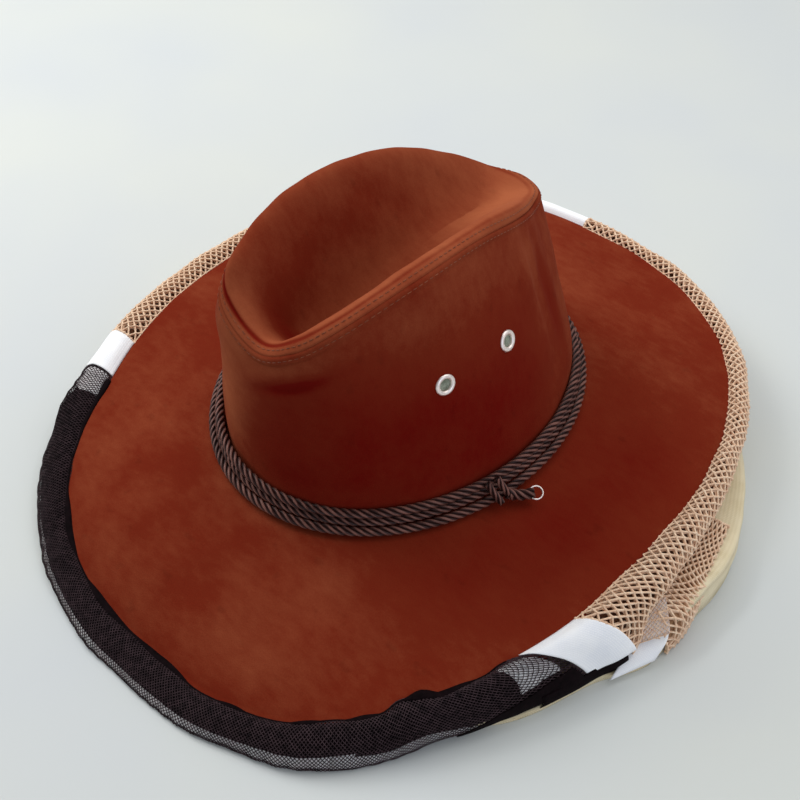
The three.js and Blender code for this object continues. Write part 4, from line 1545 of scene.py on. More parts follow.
@dataclass
class HatBand:
    """Three turns of twisted cord, the wrap that ties them, and the short tail with its ring."""

    radius: float = 2.45
    lay: float = 19.0
    strands: int = 4
    strand_share: float = 0.44
    rows: tuple[BandRow, ...] = (
        BandRow("band_cord_low", 6.8, 3.1, 0.0),
        BandRow("band_cord_middle", 3.4, 7.1, 1.3),
        BandRow("band_cord_high", 2.9, 12.3, 2.4),
    )
    knot_spots: tuple[tuple[float, float, float], ...] = (
        (73.5, 6.4, 15.6), (74.2, 8.6, 11.2), (75, 10.3, 7.6), (75.8, 12.2, 3.9))
    tail_spots: tuple[tuple[float, float, float], ...] = (
        (76.6, 11.2, 6.4), (78.2, 12.2, 4.2), (80.4, 14.6, 3.1), (82.8, 17.2, 2.7))
    sides: int = 10
    wave: float = 0.35
    path_steps: int = 560
    wrap_radius: float = 1.9
    wrap_shifts: tuple[float, float] = (-1.6, 1.6)
    tail_radius: float = 3.0
    tail_steps: int = 44
    ring_radius: float = 3.5
    ring_wire: float = 0.5
    ring_up: tuple[float, float, float] = (0.3, -0.3, 0.9)

    def rope(self, name: str, path: np.ndarray, radius: float, closed: bool, phase: float,
             material: Material) -> Object:
        """Wind strands round a path.

        Args:
            name: Name of the piece.
            path: Points down the middle of the rope, evenly spaced.
            radius: Outer radius of the rope.
            closed: Whether the path is a ring.
            phase: Turn of the first strand, in radians.
            material: The cord's material.

        Returns:
            The rope as one object.
        """
        after, before = np.roll(path, -1, axis=0), np.roll(path, 1, axis=0)
        if not closed:
            after[-1], before[0] = path[-1], path[0]
        tangent = unit(after - before)
        side = unit(np.cross(tangent, UP))
        over = np.cross(side, tangent)
        along = run_of(path)
        total = along[-1] + (np.linalg.norm(path[0] - path[-1]) if closed else 0)
        twists = max(1, round(total / self.lay)) if closed else total / self.lay
        winding = phase - FULL_TURN * twists * along / total
        thick = radius * self.strand_share
        angles = FULL_TURN * np.arange(self.sides) / self.sides
        lines, faces = [], []
        for k in range(self.strands):
            a = (winding + FULL_TURN * k / self.strands)[:, None]
            out = side * np.cos(a) + over * np.sin(a)
            lead = over * np.cos(a) - side * np.sin(a)
            centre = path + out * (radius - thick)
            lines += [centre + thick * (out * math.cos(b) + lead * math.sin(b)) for b in angles]
            faces += tube_faces(self.sides, len(path), closed, k * self.sides * len(path))
        made = new_object(name, np.concatenate(lines), faces, material)
        round_strand = np.repeat(np.tile(angles, self.strands), len(path))
        run = np.tile(along, self.sides * self.strands)
        set_uv(made, "cord", np.stack([run, round_strand * thick], axis=-1) * MM)
        # Painted highlight on each strand's outer side and painted shade on its inner side, in the grooves.
        set_attribute(made, "strand_highlight_and_shade", 0.5 + 0.5 * np.cos(round_strand))
        fix_normals(made)
        return made

    def spots(self, spots: Sequence[tuple[float, float, float]], count: int) -> np.ndarray:
        """Smooth path of some points, past spots given by turn, distance out and height."""
        return smooth_line(FORM.near_foot(*np.array(spots).T), count)

    def build(self, cord: Material, metal: Material) -> None:
        """Build the band.

        Args:
            cord: The cord's material.
            metal: The ring's metal.
        """
        turns = np.linspace(0, 360, 2400, endpoint=False)
        for row in self.rows:
            wave = self.wave * np.sin(np.radians(turns * 5 + row.phase * 60))
            path = even_line(FORM.near_foot(turns, row.out + wave * 0.3, row.up + wave), self.path_steps, True)
            rope = self.rope(row.node + "_strands", path, self.radius, True, row.phase, cord)
            hand_over(rope, Slot.CORD, row.node)
        wraps = []
        for k, shift in enumerate(self.wrap_shifts):
            path = self.spots([(turn + shift, out + 0.2, up) for turn, out, up in self.knot_spots], 26)
            wraps.append(self.rope(f"wrap_{k}", path, self.wrap_radius, False, k, cord))
        hand_over(joined("band_knot_wrap", wraps), Slot.CORD, "band_knot")
        path = self.spots(self.tail_spots, self.tail_steps)
        hand_over(self.rope("band_tail_strands", path, self.tail_radius, False, 0.5, cord), Slot.CORD, "band_tail")
        self.build_ring(path, metal)

    def build_ring(self, tail: np.ndarray, metal: Material) -> None:
        """Build the thin ring on the tail's end.

        Args:
            tail: Points down the middle of the tail.
            metal: The ring's metal.
        """
        centre = tail[-1] + unit(tail[-1] - tail[-4]) * 0.4 * self.ring_radius
        seat = EyeletSeat("tail_ring", centre, unit(np.array(self.ring_up)))
        profile = [(self.ring_radius + self.ring_wire * math.cos(a), self.ring_wire * 1.3 * math.sin(a))
                   for a in np.linspace(0, FULL_TURN, 13)]
        hand_over(seat.turned("tail_ring_wire", profile, 48, metal), Slot.METAL, "tail_ring")


def smooth_line(points: np.ndarray, count: int) -> np.ndarray:
    """Smooth line through some points, by Catmull-Rom pieces.

    Args:
        points: The points.
        count: Points wanted.

    Returns:
        Points at even steps.
    """
    ends = np.concatenate([[2 * points[0] - points[1]], points, [2 * points[-1] - points[-2]]])
    fine = []
    for k in range(len(points) - 1):
        p0, p1, p2, p3 = ends[k:k + 4]
        for f in np.linspace(0, 1, 40, endpoint=k == len(points) - 2):
            fine.append(0.5 * (2 * p1 + (p2 - p0) * f + (2 * p0 - 5 * p1 + 4 * p2 - p3) * f**2
                               + (3 * p1 - p0 - 3 * p2 + p3) * f**3))
    return even_line(np.array(fine), count, closed=False)


def even_line(points: np.ndarray, count: int, closed: bool) -> np.ndarray:
    """Points at even steps along a line.

    Args:
        points: The line.
        count: Points wanted.
        closed: Whether the line is a ring.

    Returns:
        The even points.
    """
    line = np.concatenate([points, points[:1]]) if closed else points
    along = run_of(line)
    at = np.linspace(0, along[-1], count, endpoint=not closed)
    return np.stack([np.interp(at, along, line[:, k]) for k in range(line.shape[1])], axis=1)


def smooth_sections(points: np.ndarray, samples: int) -> np.ndarray:
    """Even smooth lines through sections of few points, each with that many samples."""
    return np.array([smooth_line(section, samples) for section in points])


@dataclass
class VeilForm:
    """Sections of the folded veil beside the brim's edge."""

    thick: float = 1.2
    roll_depth: float = 14.5
    roll_tuck: float = -8
    flat_cloth: float = 3.2
    cloth_tuck: float = 44
    cloth_bend: float = 6
    fit_gap: float = 0.4
    foot_width: float = 8
    foot_lift: float = 3.7
    tape_right: tuple[float, float] = (-71, -63)
    tape_left: tuple[float, float] = (64, 74)
    tape_back: tuple[float, float] = (185.3, 200)
    fold: tuple[float, float] = (79, 105)
    flat_fades: float = 13
    roll_fades: float = 14
    hem_cover: float = 3.4
    lowest: float = 0.3

    def front(self, turns: np.ndarray, reach: np.ndarray, low: np.ndarray | None = None) -> np.ndarray:
        """Sections of a net that falls from the brim's edge.

        Args:
            turns: Turns of the sections.
            reach: How far out each one reaches.
            low: Height that each one falls to, or None for the table.

        Returns:
            Distance out and height of each section's points.
        """
        edge = FORM.brim_edge(turns)[:, 2]
        low = VEIL.at("low", wrap(turns)) + self.thick / 2 if low is None else low
        rise, inside = edge - low, reach - self.foot_width
        on_table = np.minimum(VEIL.at("cloth", wrap(turns)) + self.fit_gap, inside)
        foot = on_table + (inside - on_table) * ease(np.clip((low - self.thick / 2) / self.foot_lift, 0, 1))
        clear = np.full_like(edge, self.fit_gap + self.thick / 2)
        return sections_of((clear, edge - 0.9), (reach * 0.3, edge + 1.2), (reach * 0.65, low + rise * 0.86),
                           (reach * 0.9, low + rise * 0.5), (reach, low + rise * 0.2), (reach - 1.6, low),
                           (foot, low))

    def rolled(self, turns: np.ndarray) -> np.ndarray:
        """Sections of a net that is rolled under the brim's edge.

        Args:
            turns: Turns of the sections.

        Returns:
            Distance out and height of each section's points.
        """
        edge = FORM.brim_edge(turns)[:, 2]
        reach = VEIL.at("net", wrap(turns)) - self.thick / 2
        under = edge - self.roll_depth + self.thick / 2
        clear, tuck = np.full_like(edge, self.fit_gap + self.thick / 2), np.full_like(edge, self.roll_tuck)
        return sections_of((clear, edge - 0.9), (reach * 0.35, edge + 2.4), (reach * 0.75, edge + 1.2),
                           (reach, edge - 4.5), (reach * 0.85, edge - 10), (reach * 0.4, under), (tuck, under))

    def beside_tape(self, turns: np.ndarray) -> np.ndarray:
        """Sections of the left net: flat beside the tape, then rolled under the brim's edge.

        Args:
            turns: Turns of the sections.

        Returns:
            Distance out and height of each section's points.
        """
        flat = ease(1 - np.clip((turns - self.tape_left[1]) / self.flat_fades, 0, 1))
        front = self.front(turns, 20 + 4 * flat, self.cloth_top(turns) + 1.2)
        flat = flat[:, None, None]
        return front * flat + self.rolled(turns) * (1 - flat)

    def front_joined(self, turns: np.ndarray) -> np.ndarray:
        """Sections of the front net: rolled beside the right tape, then falling to the table.

        Args:
            turns: Turns of the sections.

        Returns:
            Distance out and height of each section's points.
        """
        rolled = ease(1 - np.clip((turns - self.tape_right[1]) / self.roll_fades, 0, 1))[:, None, None]
        cover = self.hem_cover * np.clip(soft_noise(FORM.brim_edge(turns), 17, 91) + 0.1, 0, 1)
        front = self.front(turns, VEIL.at("net", wrap(turns)) - self.thick / 2)
        front[:, 0] += np.stack([-cover, 0.5 * cover], axis=-1)
        return front * (1 - rolled) + self.rolled(turns) * rolled

    def cloth_top(self, turns: np.ndarray) -> np.ndarray:
        """Height of the upper layer of the cloth skirt.

        Args:
            turns: Turns in degrees.

        Returns:
            Its height at each turn.
        """
        rolled = FORM.brim_edge(turns)[:, 2] - self.roll_depth - self.thick - self.fit_gap
        puff = np.clip(VEIL.at("puff", wrap(turns)), 0, 1)
        return self.flat_cloth + (rolled - self.flat_cloth) * puff

    def cloth(self, turns: np.ndarray) -> np.ndarray:
        """Sections of the cloth skirt: out along the table, round and back in.

        Args:
            turns: Turns of the sections.

        Returns:
            Distance out and height of each section's points.
        """
        half = self.thick / 2
        top = self.cloth_top(turns) - half
        reach = VEIL.at("cloth", wrap(turns)) - half
        reach += 15 * hump(wrap(turns) + 86, 17) - 6 * hump(wrap(turns) - 59, 13)
        bend = np.minimum((top - half) / 2, self.cloth_bend)
        corner = bend * 0.3
        tuck, low = np.full_like(top, -self.cloth_tuck), np.full_like(top, half)
        return sections_of((tuck, low), (reach - bend, low), (reach - corner, half + corner),
                           (reach, half + bend), (reach, top - bend), (reach - corner, top - corner),
                           (reach - bend, top), (tuck, top))

    def laid(self, turns: np.ndarray, sections: np.ndarray) -> np.ndarray:
        """Lay sections beside the brim.

        Args:
            turns: Turns of the sections.
            sections: Distance out and height of each section's points.

        Returns:
            Grid of points, a row for each point along a section.
        """
        t = np.repeat(turns[:, None], sections.shape[1], axis=1)
        grid = FORM.veil_point(t, sections[..., 0], np.maximum(sections[..., 1], self.lowest))
        return np.transpose(grid, (1, 0, 2))


VEIL_FORM = VeilForm()


def turns_for(start: float, end: float, pitch: float) -> np.ndarray:
    """Turns whose points lie evenly along the brim's edge.

    Args:
        start: First turn.
        end: Last turn.
        pitch: Distance from point to point.

    Returns:
        The turns.
    """
    fine = np.linspace(start, end, 2000)
    along = run_of(FORM.brim_edge(fine))
    count = max(2, round(along[-1] / pitch) + 1)
    return np.interp(np.linspace(0, along[-1], count), along, fine)


def lattice(rows: int, columns: int, seed: int, wobble: float) -> tuple[np.ndarray, np.ndarray, np.ndarray]:
    """Crossings and strands of a diamond net in a unit square.

    Args:
        rows: Rows of crossings across the net.
        columns: Crossings along the net.
        seed: Seed of the unevenness.
        wobble: Unevenness, as a share of a cell.

    Returns:
        Place across, place along and the pairs that strands join.
    """
    rng = np.random.default_rng(seed)
    r, c = np.meshgrid(np.arange(rows), np.arange(columns), indexing="ij")
    across = (r + rng.uniform(-wobble, wobble, r.shape) * ((r > 0) & (r < rows - 1))) / (rows - 1)
    along = (c + 0.5 * (r % 2) + rng.uniform(-wobble, wobble, r.shape)) / (columns - 0.5)
    along[:, 0], along[:, -1] = 0, 1
    index = r * columns + c
    pairs = []
    for k in range(rows - 1):
        left, right = (slice(1, None), slice(None, -1)) if k % 2 == 0 else (slice(None, -1), slice(1, None))
        pairs += [np.stack([index[k], index[k + 1]], axis=-1),
                  np.stack([index[k, left], index[k + 1, right]], axis=-1)]
    pairs.append(np.stack([index[0, :-1], index[0, 1:]], axis=-1))
    return across.ravel(), np.clip(along, 0, 1).ravel(), np.concatenate(pairs)


@dataclass(frozen=True)
class Knit:
    """How a net is made: the diagonal of a cell, and the radius of its strands and knots."""

    cell: float
    strand: float
    knot: float = 0
    sides: int = 3


@dataclass
class Veil:
    """The folded veil: nets, tapes and the cloth skirt under them."""

    tan: Knit = Knit(4.9, 0.58, 1.0, 5)
    tan_lower: Knit = Knit(4.655, 0.58, 1.0, 5)
    black: Knit = Knit(2.1, 0.25)
    fine: Knit = Knit(2.3, 0.2)
    uneven: float = 0.09
    pitch: float = 2.4
    seam_gap: float = 0.2
    seen_rows: float = 0.76
    band_rows: tuple[float, float] = (0.4, 0.72)
    fold_start: float = 6.0
    fold_full: float = 84.0
    fold_narrows: float = 0.32
    tail_turn: float = 0.5
    tail_lift: float = 3.0
    tail_corners: tuple[tuple[float, float, float], ...] = (
        (183.4, -53.0, 3.8), (194.0, -29.0, 5.0), (193.2, -17.5, 14.5), (181.5, -6.5, 23.5),
        (172.5, -17.5, 24.5), (181.2, -33.0, 10.8))

    def sheet(self, turns: np.ndarray, sections: np.ndarray, samples: int, ripple: float, size: float, seed: int,
              pleat: float = 0.0) -> Sheet:
        """Smooth grid over some sections, with soft ripples.

        Args:
            turns: Turns of the sections.
            sections: Few points of each section.
            samples: Rows wanted.
            ripple: Height of the ripples.
            size: Size of the ripples.
            seed: Seed of the ripples.
            pleat: Height of the fine pleats that run across the roll.

        Returns:
            The sheet, its normals pointing out of the roll.
        """
        plain = Sheet(VEIL_FORM.laid(turns, smooth_sections(sections, samples)), inward=True)
        along = np.arange(len(turns)) * self.pitch
        pleats = np.sin(along * FULL_TURN / 8.3 + 3 * np.sin(along / 31)) * np.sin(along / 17 + 1)
        rows = np.sin(np.pi * np.linspace(0, 1, samples)) ** 2
        lift = ripple * soft_noise(plain.points, size, seed) + pleat * pleats[None, :] * rows[:, None]
        return Sheet(above(plain.lifted(lift), 0.35), inward=True)

    def net(self, name: str, sheet: Sheet, knit: Knit, lift: float, seed: int, material: Material,
            span: tuple[float, float] = (0, 1)) -> Object:
        """Lay a diamond net over part of a sheet.

        Args:
            name: Name of the piece.
            sheet: The surface.
            knit: How the net is made.
            lift: Height over the surface.
            seed: Seed of the unevenness.
            material: The net's material.
            span: Part of the sheet's rows that is covered.

        Returns:
            The net as one object.
        """
        share = span[1] - span[0]
        rows, columns = (side // 2 for side in sheet.points.shape[:2])
        long, wide = run_of(sheet.points[rows])[-1], run_of(sheet.points[:, columns])[-1] * share
        across, along, pairs = lattice(max(3, round(wide / (knit.cell / 2)) + 1), max(3, round(long / knit.cell)),
                                       seed, self.uneven)
        points = above(sheet.at(span[0] + across * share, along, lift), knit.strand)
        return strand_net(name, points, pairs, knit.strand, knit.knot, knit.sides, material)

    def thin(self, name: str, sheet: Sheet, lift: float, thick: float, material: Material,
             rows: tuple[float, float] = (0, 1), columns: tuple[float, float] = (0, 1)) -> Object:
        """Closed thin wall over part of a sheet.

        Args:
            name: Name of the piece.
            sheet: The surface.
            lift: Height of the wall's outer side over the surface.
            thick: Thickness of the wall.
            material: The wall's material.
            rows: Part of the sheet's rows that is covered.
            columns: Part of the sheet's columns that is covered.

        Returns:
            The wall as one object.
        """
        high, wide = sheet.points.shape[:2]
        r = slice(round(rows[0] * (high - 1)), round(rows[1] * (high - 1)) + 1)
        c = slice(round(columns[0] * (wide - 1)), round(columns[1] * (wide - 1)) + 1)
        outer, inner = sheet.lifted(lift)[r, c], sheet.lifted(lift - thick)[r, c]
        made = shell(name, above(outer, 0.3), above(inner, 0.05), False, material)
        fix_normals(made)
        return made

    def keep(self, name: str, pieces: Sequence[Object], slot: Slot, rests_on: str, *nodes: str) -> None:
        """Args:
            name: Name of the piece.
            pieces: Its layers.
            slot: Its material slot.
            rests_on: Piece that it rests on; not used.
            nodes: The solids that it replaces.
        """
        made = joined(name, pieces)
        hand_over(made, slot, *nodes)

    def build(self, finishes: dict[str, Material]) -> None:
        """Build the veil.

        Args:
            finishes: The materials by name.
        """
        self.build_cloth(finishes["cream"])
        self.build_front(finishes)
        self.build_sides(finishes["tan"], finishes["tan_roll_shade"])
        self.build_fold(finishes["tan"], finishes["tan_behind"])
        self.build_tapes(finishes)

    def build_cloth(self, cotton: Material) -> None:
        """Build the cloth skirt.

        Args:
            cotton: The cloth's material.
        """
        turns = turns_for(-180, 180, 2.6)[:-1]
        plain = Sheet(VEIL_FORM.laid(turns, smooth_sections(VEIL_FORM.cloth(turns), 56)), ring=True)
        lift = 0.35 * soft_noise(plain.points, 26, 31) + 0.2 * soft_noise(plain.points, 9, 32)
        sheet = Sheet(above(plain.lifted(lift), 0.6), ring=True)
        made = shell("skirt_cloth_folded", sheet.points, above(sheet.lifted(-1.0), 0.0), True, cotton)
        fix_normals(made)
        self.keep("skirt_cloth_folded", [made], Slot.CLOTH, "brim", "skirt_cloth")

    def build_front(self, finishes: dict[str, Material]) -> None:
        """Build the black front net: open outer layer, near-black folded inner layers and hem roll, whose darkness
        also paints the shade in the folds and along the brim's edge, and the pale hem behind it, whitened as
        painted light.

        Args:
            finishes: The materials by name.
        """
        form, gap = VEIL_FORM, self.seam_gap
        turns = turns_for(form.tape_right[1] + gap, form.tape_left[0] - gap, self.pitch)
        sheet = self.sheet(turns, form.front_joined(turns), 60, 0.45, 15, 41, 0.34)
        black, folded, pale = (finishes[key] for key in ("black", "black_fold_shade", "pale"))
        pieces = [self.net("net_front_outer", sheet, self.black, 0.0, 42, black, (0, self.seen_rows))]
        # The near-black folded layers, wedge, hem roll and strip are darker than the open net: the net's folds,
        # with painted shade inside them, along the brim's edge and beside the left tape.
        for name, lift, rows, columns in (("inner", -0.8, (0, self.band_rows[0]), (0.05, 0.965)),
                                          ("corner", -1.9, (0, 0.78), (0.80, 0.99)),
                                          ("rise", -1.9, (0, 0.6), (0.0, 0.07))):
            pieces.append(self.thin(f"net_front_{name}", sheet, lift, 0.4, folded, rows, columns))
        pieces.append(self.patch(sheet, "net_front_wedge", folded, (0.9, 0.098), (0.74, 0.44), (0.78, 0.79),
                                 lift=0.7))
        pieces.append(self.shaded_edge_roll(sheet, folded))
        turns = turns_for(form.tape_left[0] - 4, form.tape_left[1] - 1.5, 1.5)
        share = (turns - turns[0]) / (turns[-1] - turns[0])
        under = form.front(turns, 17.6 + 6.8 * share, np.full_like(share, 2.4))
        strip = self.sheet(turns, under, 50, 0.1, 12, 43)
        pieces.append(self.thin("net_front_strip", strip, 0.1, 0.5, folded, (0.62, 0.84)))
        self.keep("net_front_folded", pieces, Slot.BLACK_NET, "brim_cloth", "net_front")

        # The pale band behind the net's outer strip is whiter than the cream skirt: painted light, for the light
        # that shows through the net there.
        bands = [self.thin("skirt_band_inner", sheet, -1.1, 0.4, pale, self.band_rows, (0.07, 0.79))]
        for name, columns, upper, lower, skew in (
                ("skirt_band_end", (0.765, 0.145), (0.4, 0.66), (0.725, 0.74), 0.0),
                ("skirt_band_patch", (0.966, 0.032), (0.03, 0.03), (0.5, 0.42), -0.008),
                ("skirt_band_patch_right", (0.045, -0.043), (0.03, 0.03), (0.23, 0.58), 0.0)):
            bands.append(self.patch(sheet, name, pale, columns, upper, lower, skew))
        self.keep("skirt_band_inner", bands, Slot.CLOTH, "net_front_folded")

    def shaded_edge_roll(self, sheet: Sheet, material: Material) -> Object:
        """Build the rolled hem of the black net, which lies unevenly along the brim's edge; its near-black colour
        also paints the shade in the valley between the brim and the net.

        Args:
            sheet: The net's surface.
            material: The hem's material.

        Returns:
            The hem as one object.
        """
        count, sides = sheet.points.shape[1], 8
        along = np.linspace(0.01, 0.985, count)
        size = 0.9 + 0.9 * np.clip(soft_noise(sheet.at(np.zeros(count), along), 15, 92), -0.6, 1)
        centre = sheet.at(np.full(count, 0.02), along, 0.2)
        side = unit(np.cross(np.gradient(centre, axis=0), UP))
        rows = np.concatenate([centre + size[:, None] * (1.5 * side * math.cos(a) + 0.7 * UP * math.sin(a))
                               for a in np.linspace(0, FULL_TURN, sides, endpoint=False)])
        made = new_object("net_front_hem_shade", rows, tube_faces(sides, count, False), material)
        fix_normals(made)
        return made

    def patch(self, sheet: Sheet, name: str, material: Material, columns: tuple[float, float],
              upper: tuple[float, float], lower: tuple[float, float], skew: float = 0.0,
              lift: float = -0.75) -> Object:
        """Build a slanting piece of a layer that lies close under or over the net.

        Args:
            sheet: The net's surface.
            name: Name of the piece.
            material: The layer's material.
            columns: First column, and the width from there.
            upper: Row of its upper edge at the first column and at the last.
            lower: Row of its lower edge at the first column and at the last.
            skew: How far its lower edge is moved along the net.
            lift: Height over the net's surface.

        Returns:
            The slanting piece.
        """
        count = 16
        s, v = np.meshgrid(np.linspace(0, 1, count), np.linspace(0, 1, count))
        column = columns[0] + columns[1] * s + skew * v
        top, foot = (edge[0] + (edge[1] - edge[0]) * s for edge in (upper, lower))
        row = top + (foot - top) * v
        made = shell(name, sheet.at(row, column, lift), sheet.at(row, column, lift - 0.45), False, material)
        fix_normals(made)
        return made

    def build_sides(self, tan: Material, inner: Material) -> None:
        """Build the tan side nets, each two open layers over folded ones.

        Args:
            tan: The nets' material.
            inner: The folded layers' material, dark brown: the brown suede under the roll with painted shade in its
                hollow.
        """
        form, gap = VEIL_FORM, self.seam_gap
        left = turns_for(form.tape_left[1] + gap, form.tape_back[0] - gap, self.pitch)
        right = turns_for(form.tape_back[1] + gap, 360 + form.tape_right[0] - gap, self.pitch)
        plans = (("net_left", left, form.beside_tape(left)), ("net_right", right, form.rolled(right)))
        for k, (name, turns, sections) in enumerate(plans):
            sheet = self.sheet(turns, sections, 48, 0.4, 14, 51 + k, 0.25)
            layers = [self.net(f"{name}_layer_{n}", sheet, self.tan, 0.3 - 1.2 * n, 60 + 7 * k + n, tan, (0, 0.8))
                      for n in range(2)]
            # A dark brown sheet inside the roll: the brown suede under it, with painted shade in the roll's hollow.
            layers.append(self.thin(f"{name}_inner", sheet, -2.4, 0.5, inner, (0.02, 0.8)))
            self.keep(f"{name}_rolled", layers, Slot.TAN_NET, "brim_cloth", name)

    def build_fold(self, tan: Material, behind: Material) -> None:
        """Build the lower fold of the left net, over the full part of the cloth.

        Args:
            tan: The net's material.
            behind: Material of the layer behind it.
        """
        turns = turns_for(*VEIL_FORM.fold, 2.0)
        low, high, shoulder, top = (VEIL_FORM.cloth(turns)[:, k] for k in (3, 4, 5, 6))
        lift = ease(np.clip((turns - self.fold_full) / (VEIL_FORM.fold[1] - self.fold_full), 0, 1))
        risen = np.clip(1.8 * lift, 0, 1)
        start, level = np.full_like(lift, self.fold_start), top[:, 1]
        places = [(start, level), top.T, shoulder.T, high.T, (low[:, 0], np.full_like(lift, 1.2))]
        sections = sections_of(*[(start + (out - start) * (1 - self.fold_narrows * lift), up + (level - up) * risen)
                                 for out, up in places])
        sheet = self.sheet(turns, sections, 30, 0.4, 12, 71)
        layers = [self.net(f"fold_layer_{n}", sheet, self.tan_lower, 2.3 - 0.9 * n, 72 + n, tan) for n in range(2)]
        layers.append(self.thin("fold_inner", sheet, 0.9, 0.4, behind))
        self.keep("net_left_fold_lower", layers, Slot.TAN_NET, "skirt_cloth_folded", "net_left_fold")

    def build_tapes(self, finishes: dict[str, Material]) -> None:
        """Build the three white tapes, the left one with its turned-up end under a fine net.

        Args:
            finishes: The materials by name.
        """
        white = finishes["white"]
        for name, span in (("tape_right", VEIL_FORM.tape_right), ("tape_back", VEIL_FORM.tape_back)):
            turns = turns_for(*span, 1.2)
            sheet = self.sheet(turns, VEIL_FORM.rolled(turns), 40, 0.15, 12, 81)
            made = self.thin(f"{name}_woven", sheet, 0.5, 0.6, white)
            self.keep(f"{name}_woven", [made], Slot.TAPE, "brim_cloth", name)
        turns = turns_for(*VEIL_FORM.tape_left, 1.0)
        share = (turns - turns[0]) / (turns[-1] - turns[0])
        sections = VEIL_FORM.front(turns, 18.4 + share * 6.8, np.full_like(share, 4.2))
        sheet = self.sheet(turns, sections, 44, 0.2, 16, 82)
        pieces = [self.thin("tape_left_upper", sheet, 0.9, 0.6, white, (0, 0.68))]
        pieces += self.tape_tail(white, finishes["veiled_shaded"], finishes["tan"])
        self.keep("tape_left_woven", pieces, Slot.TAPE, "brim_cloth", "tape_left")

    def tape_tail(self, white: Material, veiled_shaded: Material, tan: Material) -> list[Object]:
        """Build the end of the left tape, which turns back up and is covered there by a fine net.

        Args:
            white: The tape's material.
            veiled_shaded: The tape's material as it shows under the fine net: a darker, pinker copy of the white
                tape, with the net's shade and tint painted in.
            tan: The fine net's material.

        Returns:
            The bare end, the covered end and the fine net.
        """
        a, b, c, d, e, f = np.array(self.tail_corners)
        count = 14
        near, far = (smooth_line(np.array(edge), count) for edge in ([a, f, e], [b, c, d]))
        rows = np.array([near + (far - near) * k for k in np.linspace(0, 1, count)])
        inward = Sheet(rows).normals.mean(axis=(0, 1))[0] < 0
        sheet = Sheet(rows, inward=inward)
        turned = Sheet(rows[:, round(self.tail_turn * (count - 1)):], inward=inward)
        return [self.thin("tape_left_tail", sheet, 0.3, 0.6, white, (0, 1), (0, self.tail_turn + 0.1)),
                self.thin("tape_left_turned", turned, self.tail_lift, 0.5, veiled_shaded),
                self.net("tape_left_fine_net", turned, self.fine, self.tail_lift + 0.25, 77, tan)]


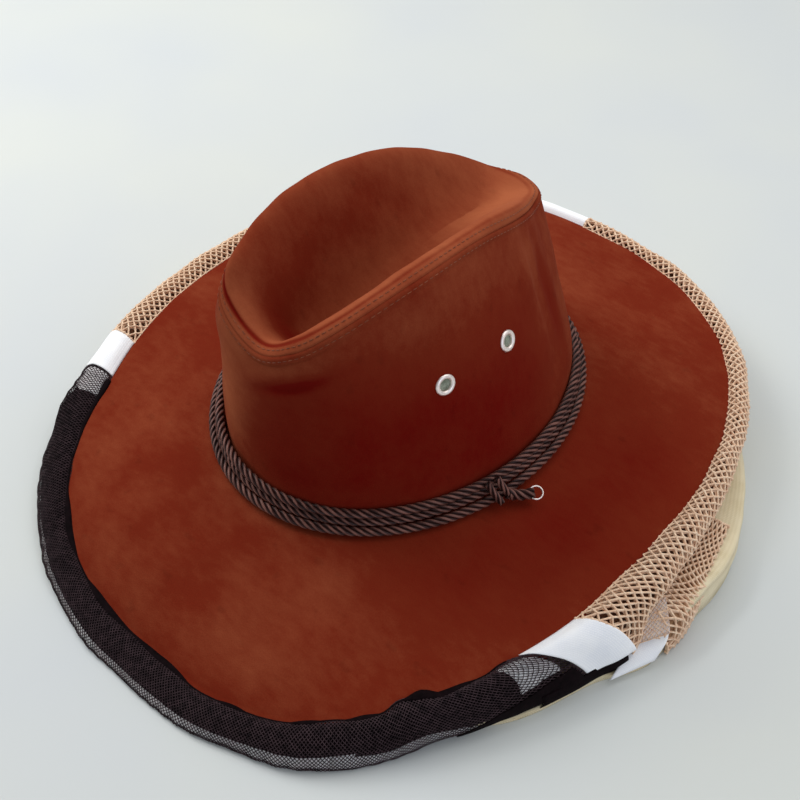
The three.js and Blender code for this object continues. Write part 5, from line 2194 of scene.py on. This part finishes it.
@dataclass
class Studio:
    """Camera at the photo's angle, pale floor and soft light."""

    azimuth: float = 41.4
    elevation: float = 46.0
    distance: float = 0.675
    focal_px: float = 1218
    sensor: float = 36
    target: tuple[float, float, float] = (6.3, -8.6, 48.0)
    floor_half: float = 1600
    clip: tuple[float, float] = (0.05, 20)
    sky: str = "#E4E7E8"
    sky_strength: float = 0.4
    lights: tuple[tuple[str, tuple[float, float, float], float, float, str], ...] = (
        ("key", (-0.95, -0.1, 1.0), 0.8, 10.5, "#FFFFFF"),
        ("fill", (0.8, 0.8, 1.2), 1.4, 6, "#FFFFFF"),
        ("top", (-0.3, 0.6, 1.5), 1.4, 8.5, "#FFFFFF"),
        ("side", (1.2, -0.35, 0.55), 0.9, 3.2, "#DCE6FF"),
    )
    aim: tuple[float, float, float] = (0, 0, 0.05)

    def build(self) -> None:
        """Build camera, lights and floor."""
        a, e = math.radians(self.azimuth), math.radians(self.elevation)
        away = Vector((math.sin(a) * math.cos(e), -math.cos(a) * math.cos(e), math.sin(e)))
        data = bpy.data.cameras.new("camera")
        data.sensor_width, data.lens = self.sensor, self.focal_px * self.sensor / PHOTO_SIZE
        data.sensor_fit = "HORIZONTAL"
        data.clip_start, data.clip_end = self.clip
        camera = add_object("camera", data)
        camera.location = Vector(world(np.array(self.target))) + away * self.distance
        camera.rotation_euler = away.to_track_quat("Z", "Y").to_euler()
        bpy.context.scene.camera = camera
        for light in self.lights:
            self.light(*light)
        studio = bpy.data.worlds.new("studio")
        studio.use_nodes = True
        back = studio.node_tree.nodes["Background"].inputs
        back["Color"].default_value, back["Strength"].default_value = linear(self.sky), self.sky_strength
        bpy.context.scene.world = studio
        bpy.context.scene.view_settings.view_transform = "Standard"
        corners = np.array([(-1, -1, 0), (1, -1, 0), (1, 1, 0), (-1, 1, 0)]) * self.floor_half
        new_object("floor", corners - SHIFT / MM, [[0, 1, 2, 3]], TableTop().build())

    def light(self, name: str, place: tuple[float, float, float], size: float, power: float, colour: str) -> None:
        """Add a square area light that looks at the hat.

        Args:
            name: Name of the light.
            place: Where it hangs, in metres.
            size: Length of its side, in metres.
            power: Power in watts.
            colour: Colour of its light.
        """
        data = bpy.data.lights.new(name, "AREA")
        data.color, data.size, data.energy = linear(colour)[:3], size, power
        lamp = add_object(name, data)
        lamp.location = place
        lamp.rotation_euler = (Vector(place) - Vector(self.aim)).to_track_quat("Z", "Y").to_euler()


def main() -> None:
    """Build the hat and its studio in order."""
    logging.basicConfig(level=logging.INFO, format="%(name)s %(message)s")
    Studio().build()
    suede = SuedeCloth().build()
    cord = WaxedCord().build()
    metal = PlatedBrass().build()
    thread = SpunYarn("thread_polyester_brown", "#5A2412", "#94502F").build()
    finishes = {
        "tan": SpunYarn("net_knitted_tan", "#D9AC8A", "#FBE0C2").build(),
        # Dark brown inner layer of the rolled tan nets: brown suede under the roll with painted shade in its
        # hollow.
        "tan_roll_shade": SpunYarn("net_knitted_tan_roll_shade", "#3E2010", "#7A4E32").build(),
        "tan_behind": SpunYarn("net_knitted_tan_lower", "#7A5234", "#B48E68").build(),
        "black": SpunYarn("net_knitted_black", "#1A1014", "#4E3C40", sheen=0.0, specular=0.2).build(),
        # Near-black, darker than the open net: folded black net with painted shade in the folds and along the
        # brim's edge.
        "black_fold_shade": SpunYarn("net_knitted_black_folded_shade", "#070304", "#160B0E", sheen=0.0,
                                specular=0.05).build(),
        "cream": WovenCloth("cotton_plain_woven_cream", "#D2C198", "#E8DAB8", 0.6).build(),
        # Whiter than the cream cloth: painted light for the band seen through the black net's outer strip.
        "pale": WovenCloth("cotton_woven_pale_painted_light", "#F4EAEA", "#FFFFFF", 0.6).build(),
        # A darker, pinker copy of the white tape for its end under the fine net: painted shade and tint of the net.
        "veiled_shaded": WovenCloth("tape_woven_under_net_shaded", "#CDBBB4", "#E2D4CD", 0.6).build(),
        "white": WovenCloth("tape_woven_white", "#F1F3F8", "#FFFFFF", 0.7).build(),
    }
    eyelets = Eyelets()
    Crown().build(suede, thread, eyelets.seats())
    Brim().build(suede)
    HatBand().build(cord, metal)
    eyelets.build(metal, SpunYarn("screen_zinc_wire", "#838A74", "#CFD4C2", 0.45).build())
    Veil().build(finishes)


if __name__ == "__main__":
    main()
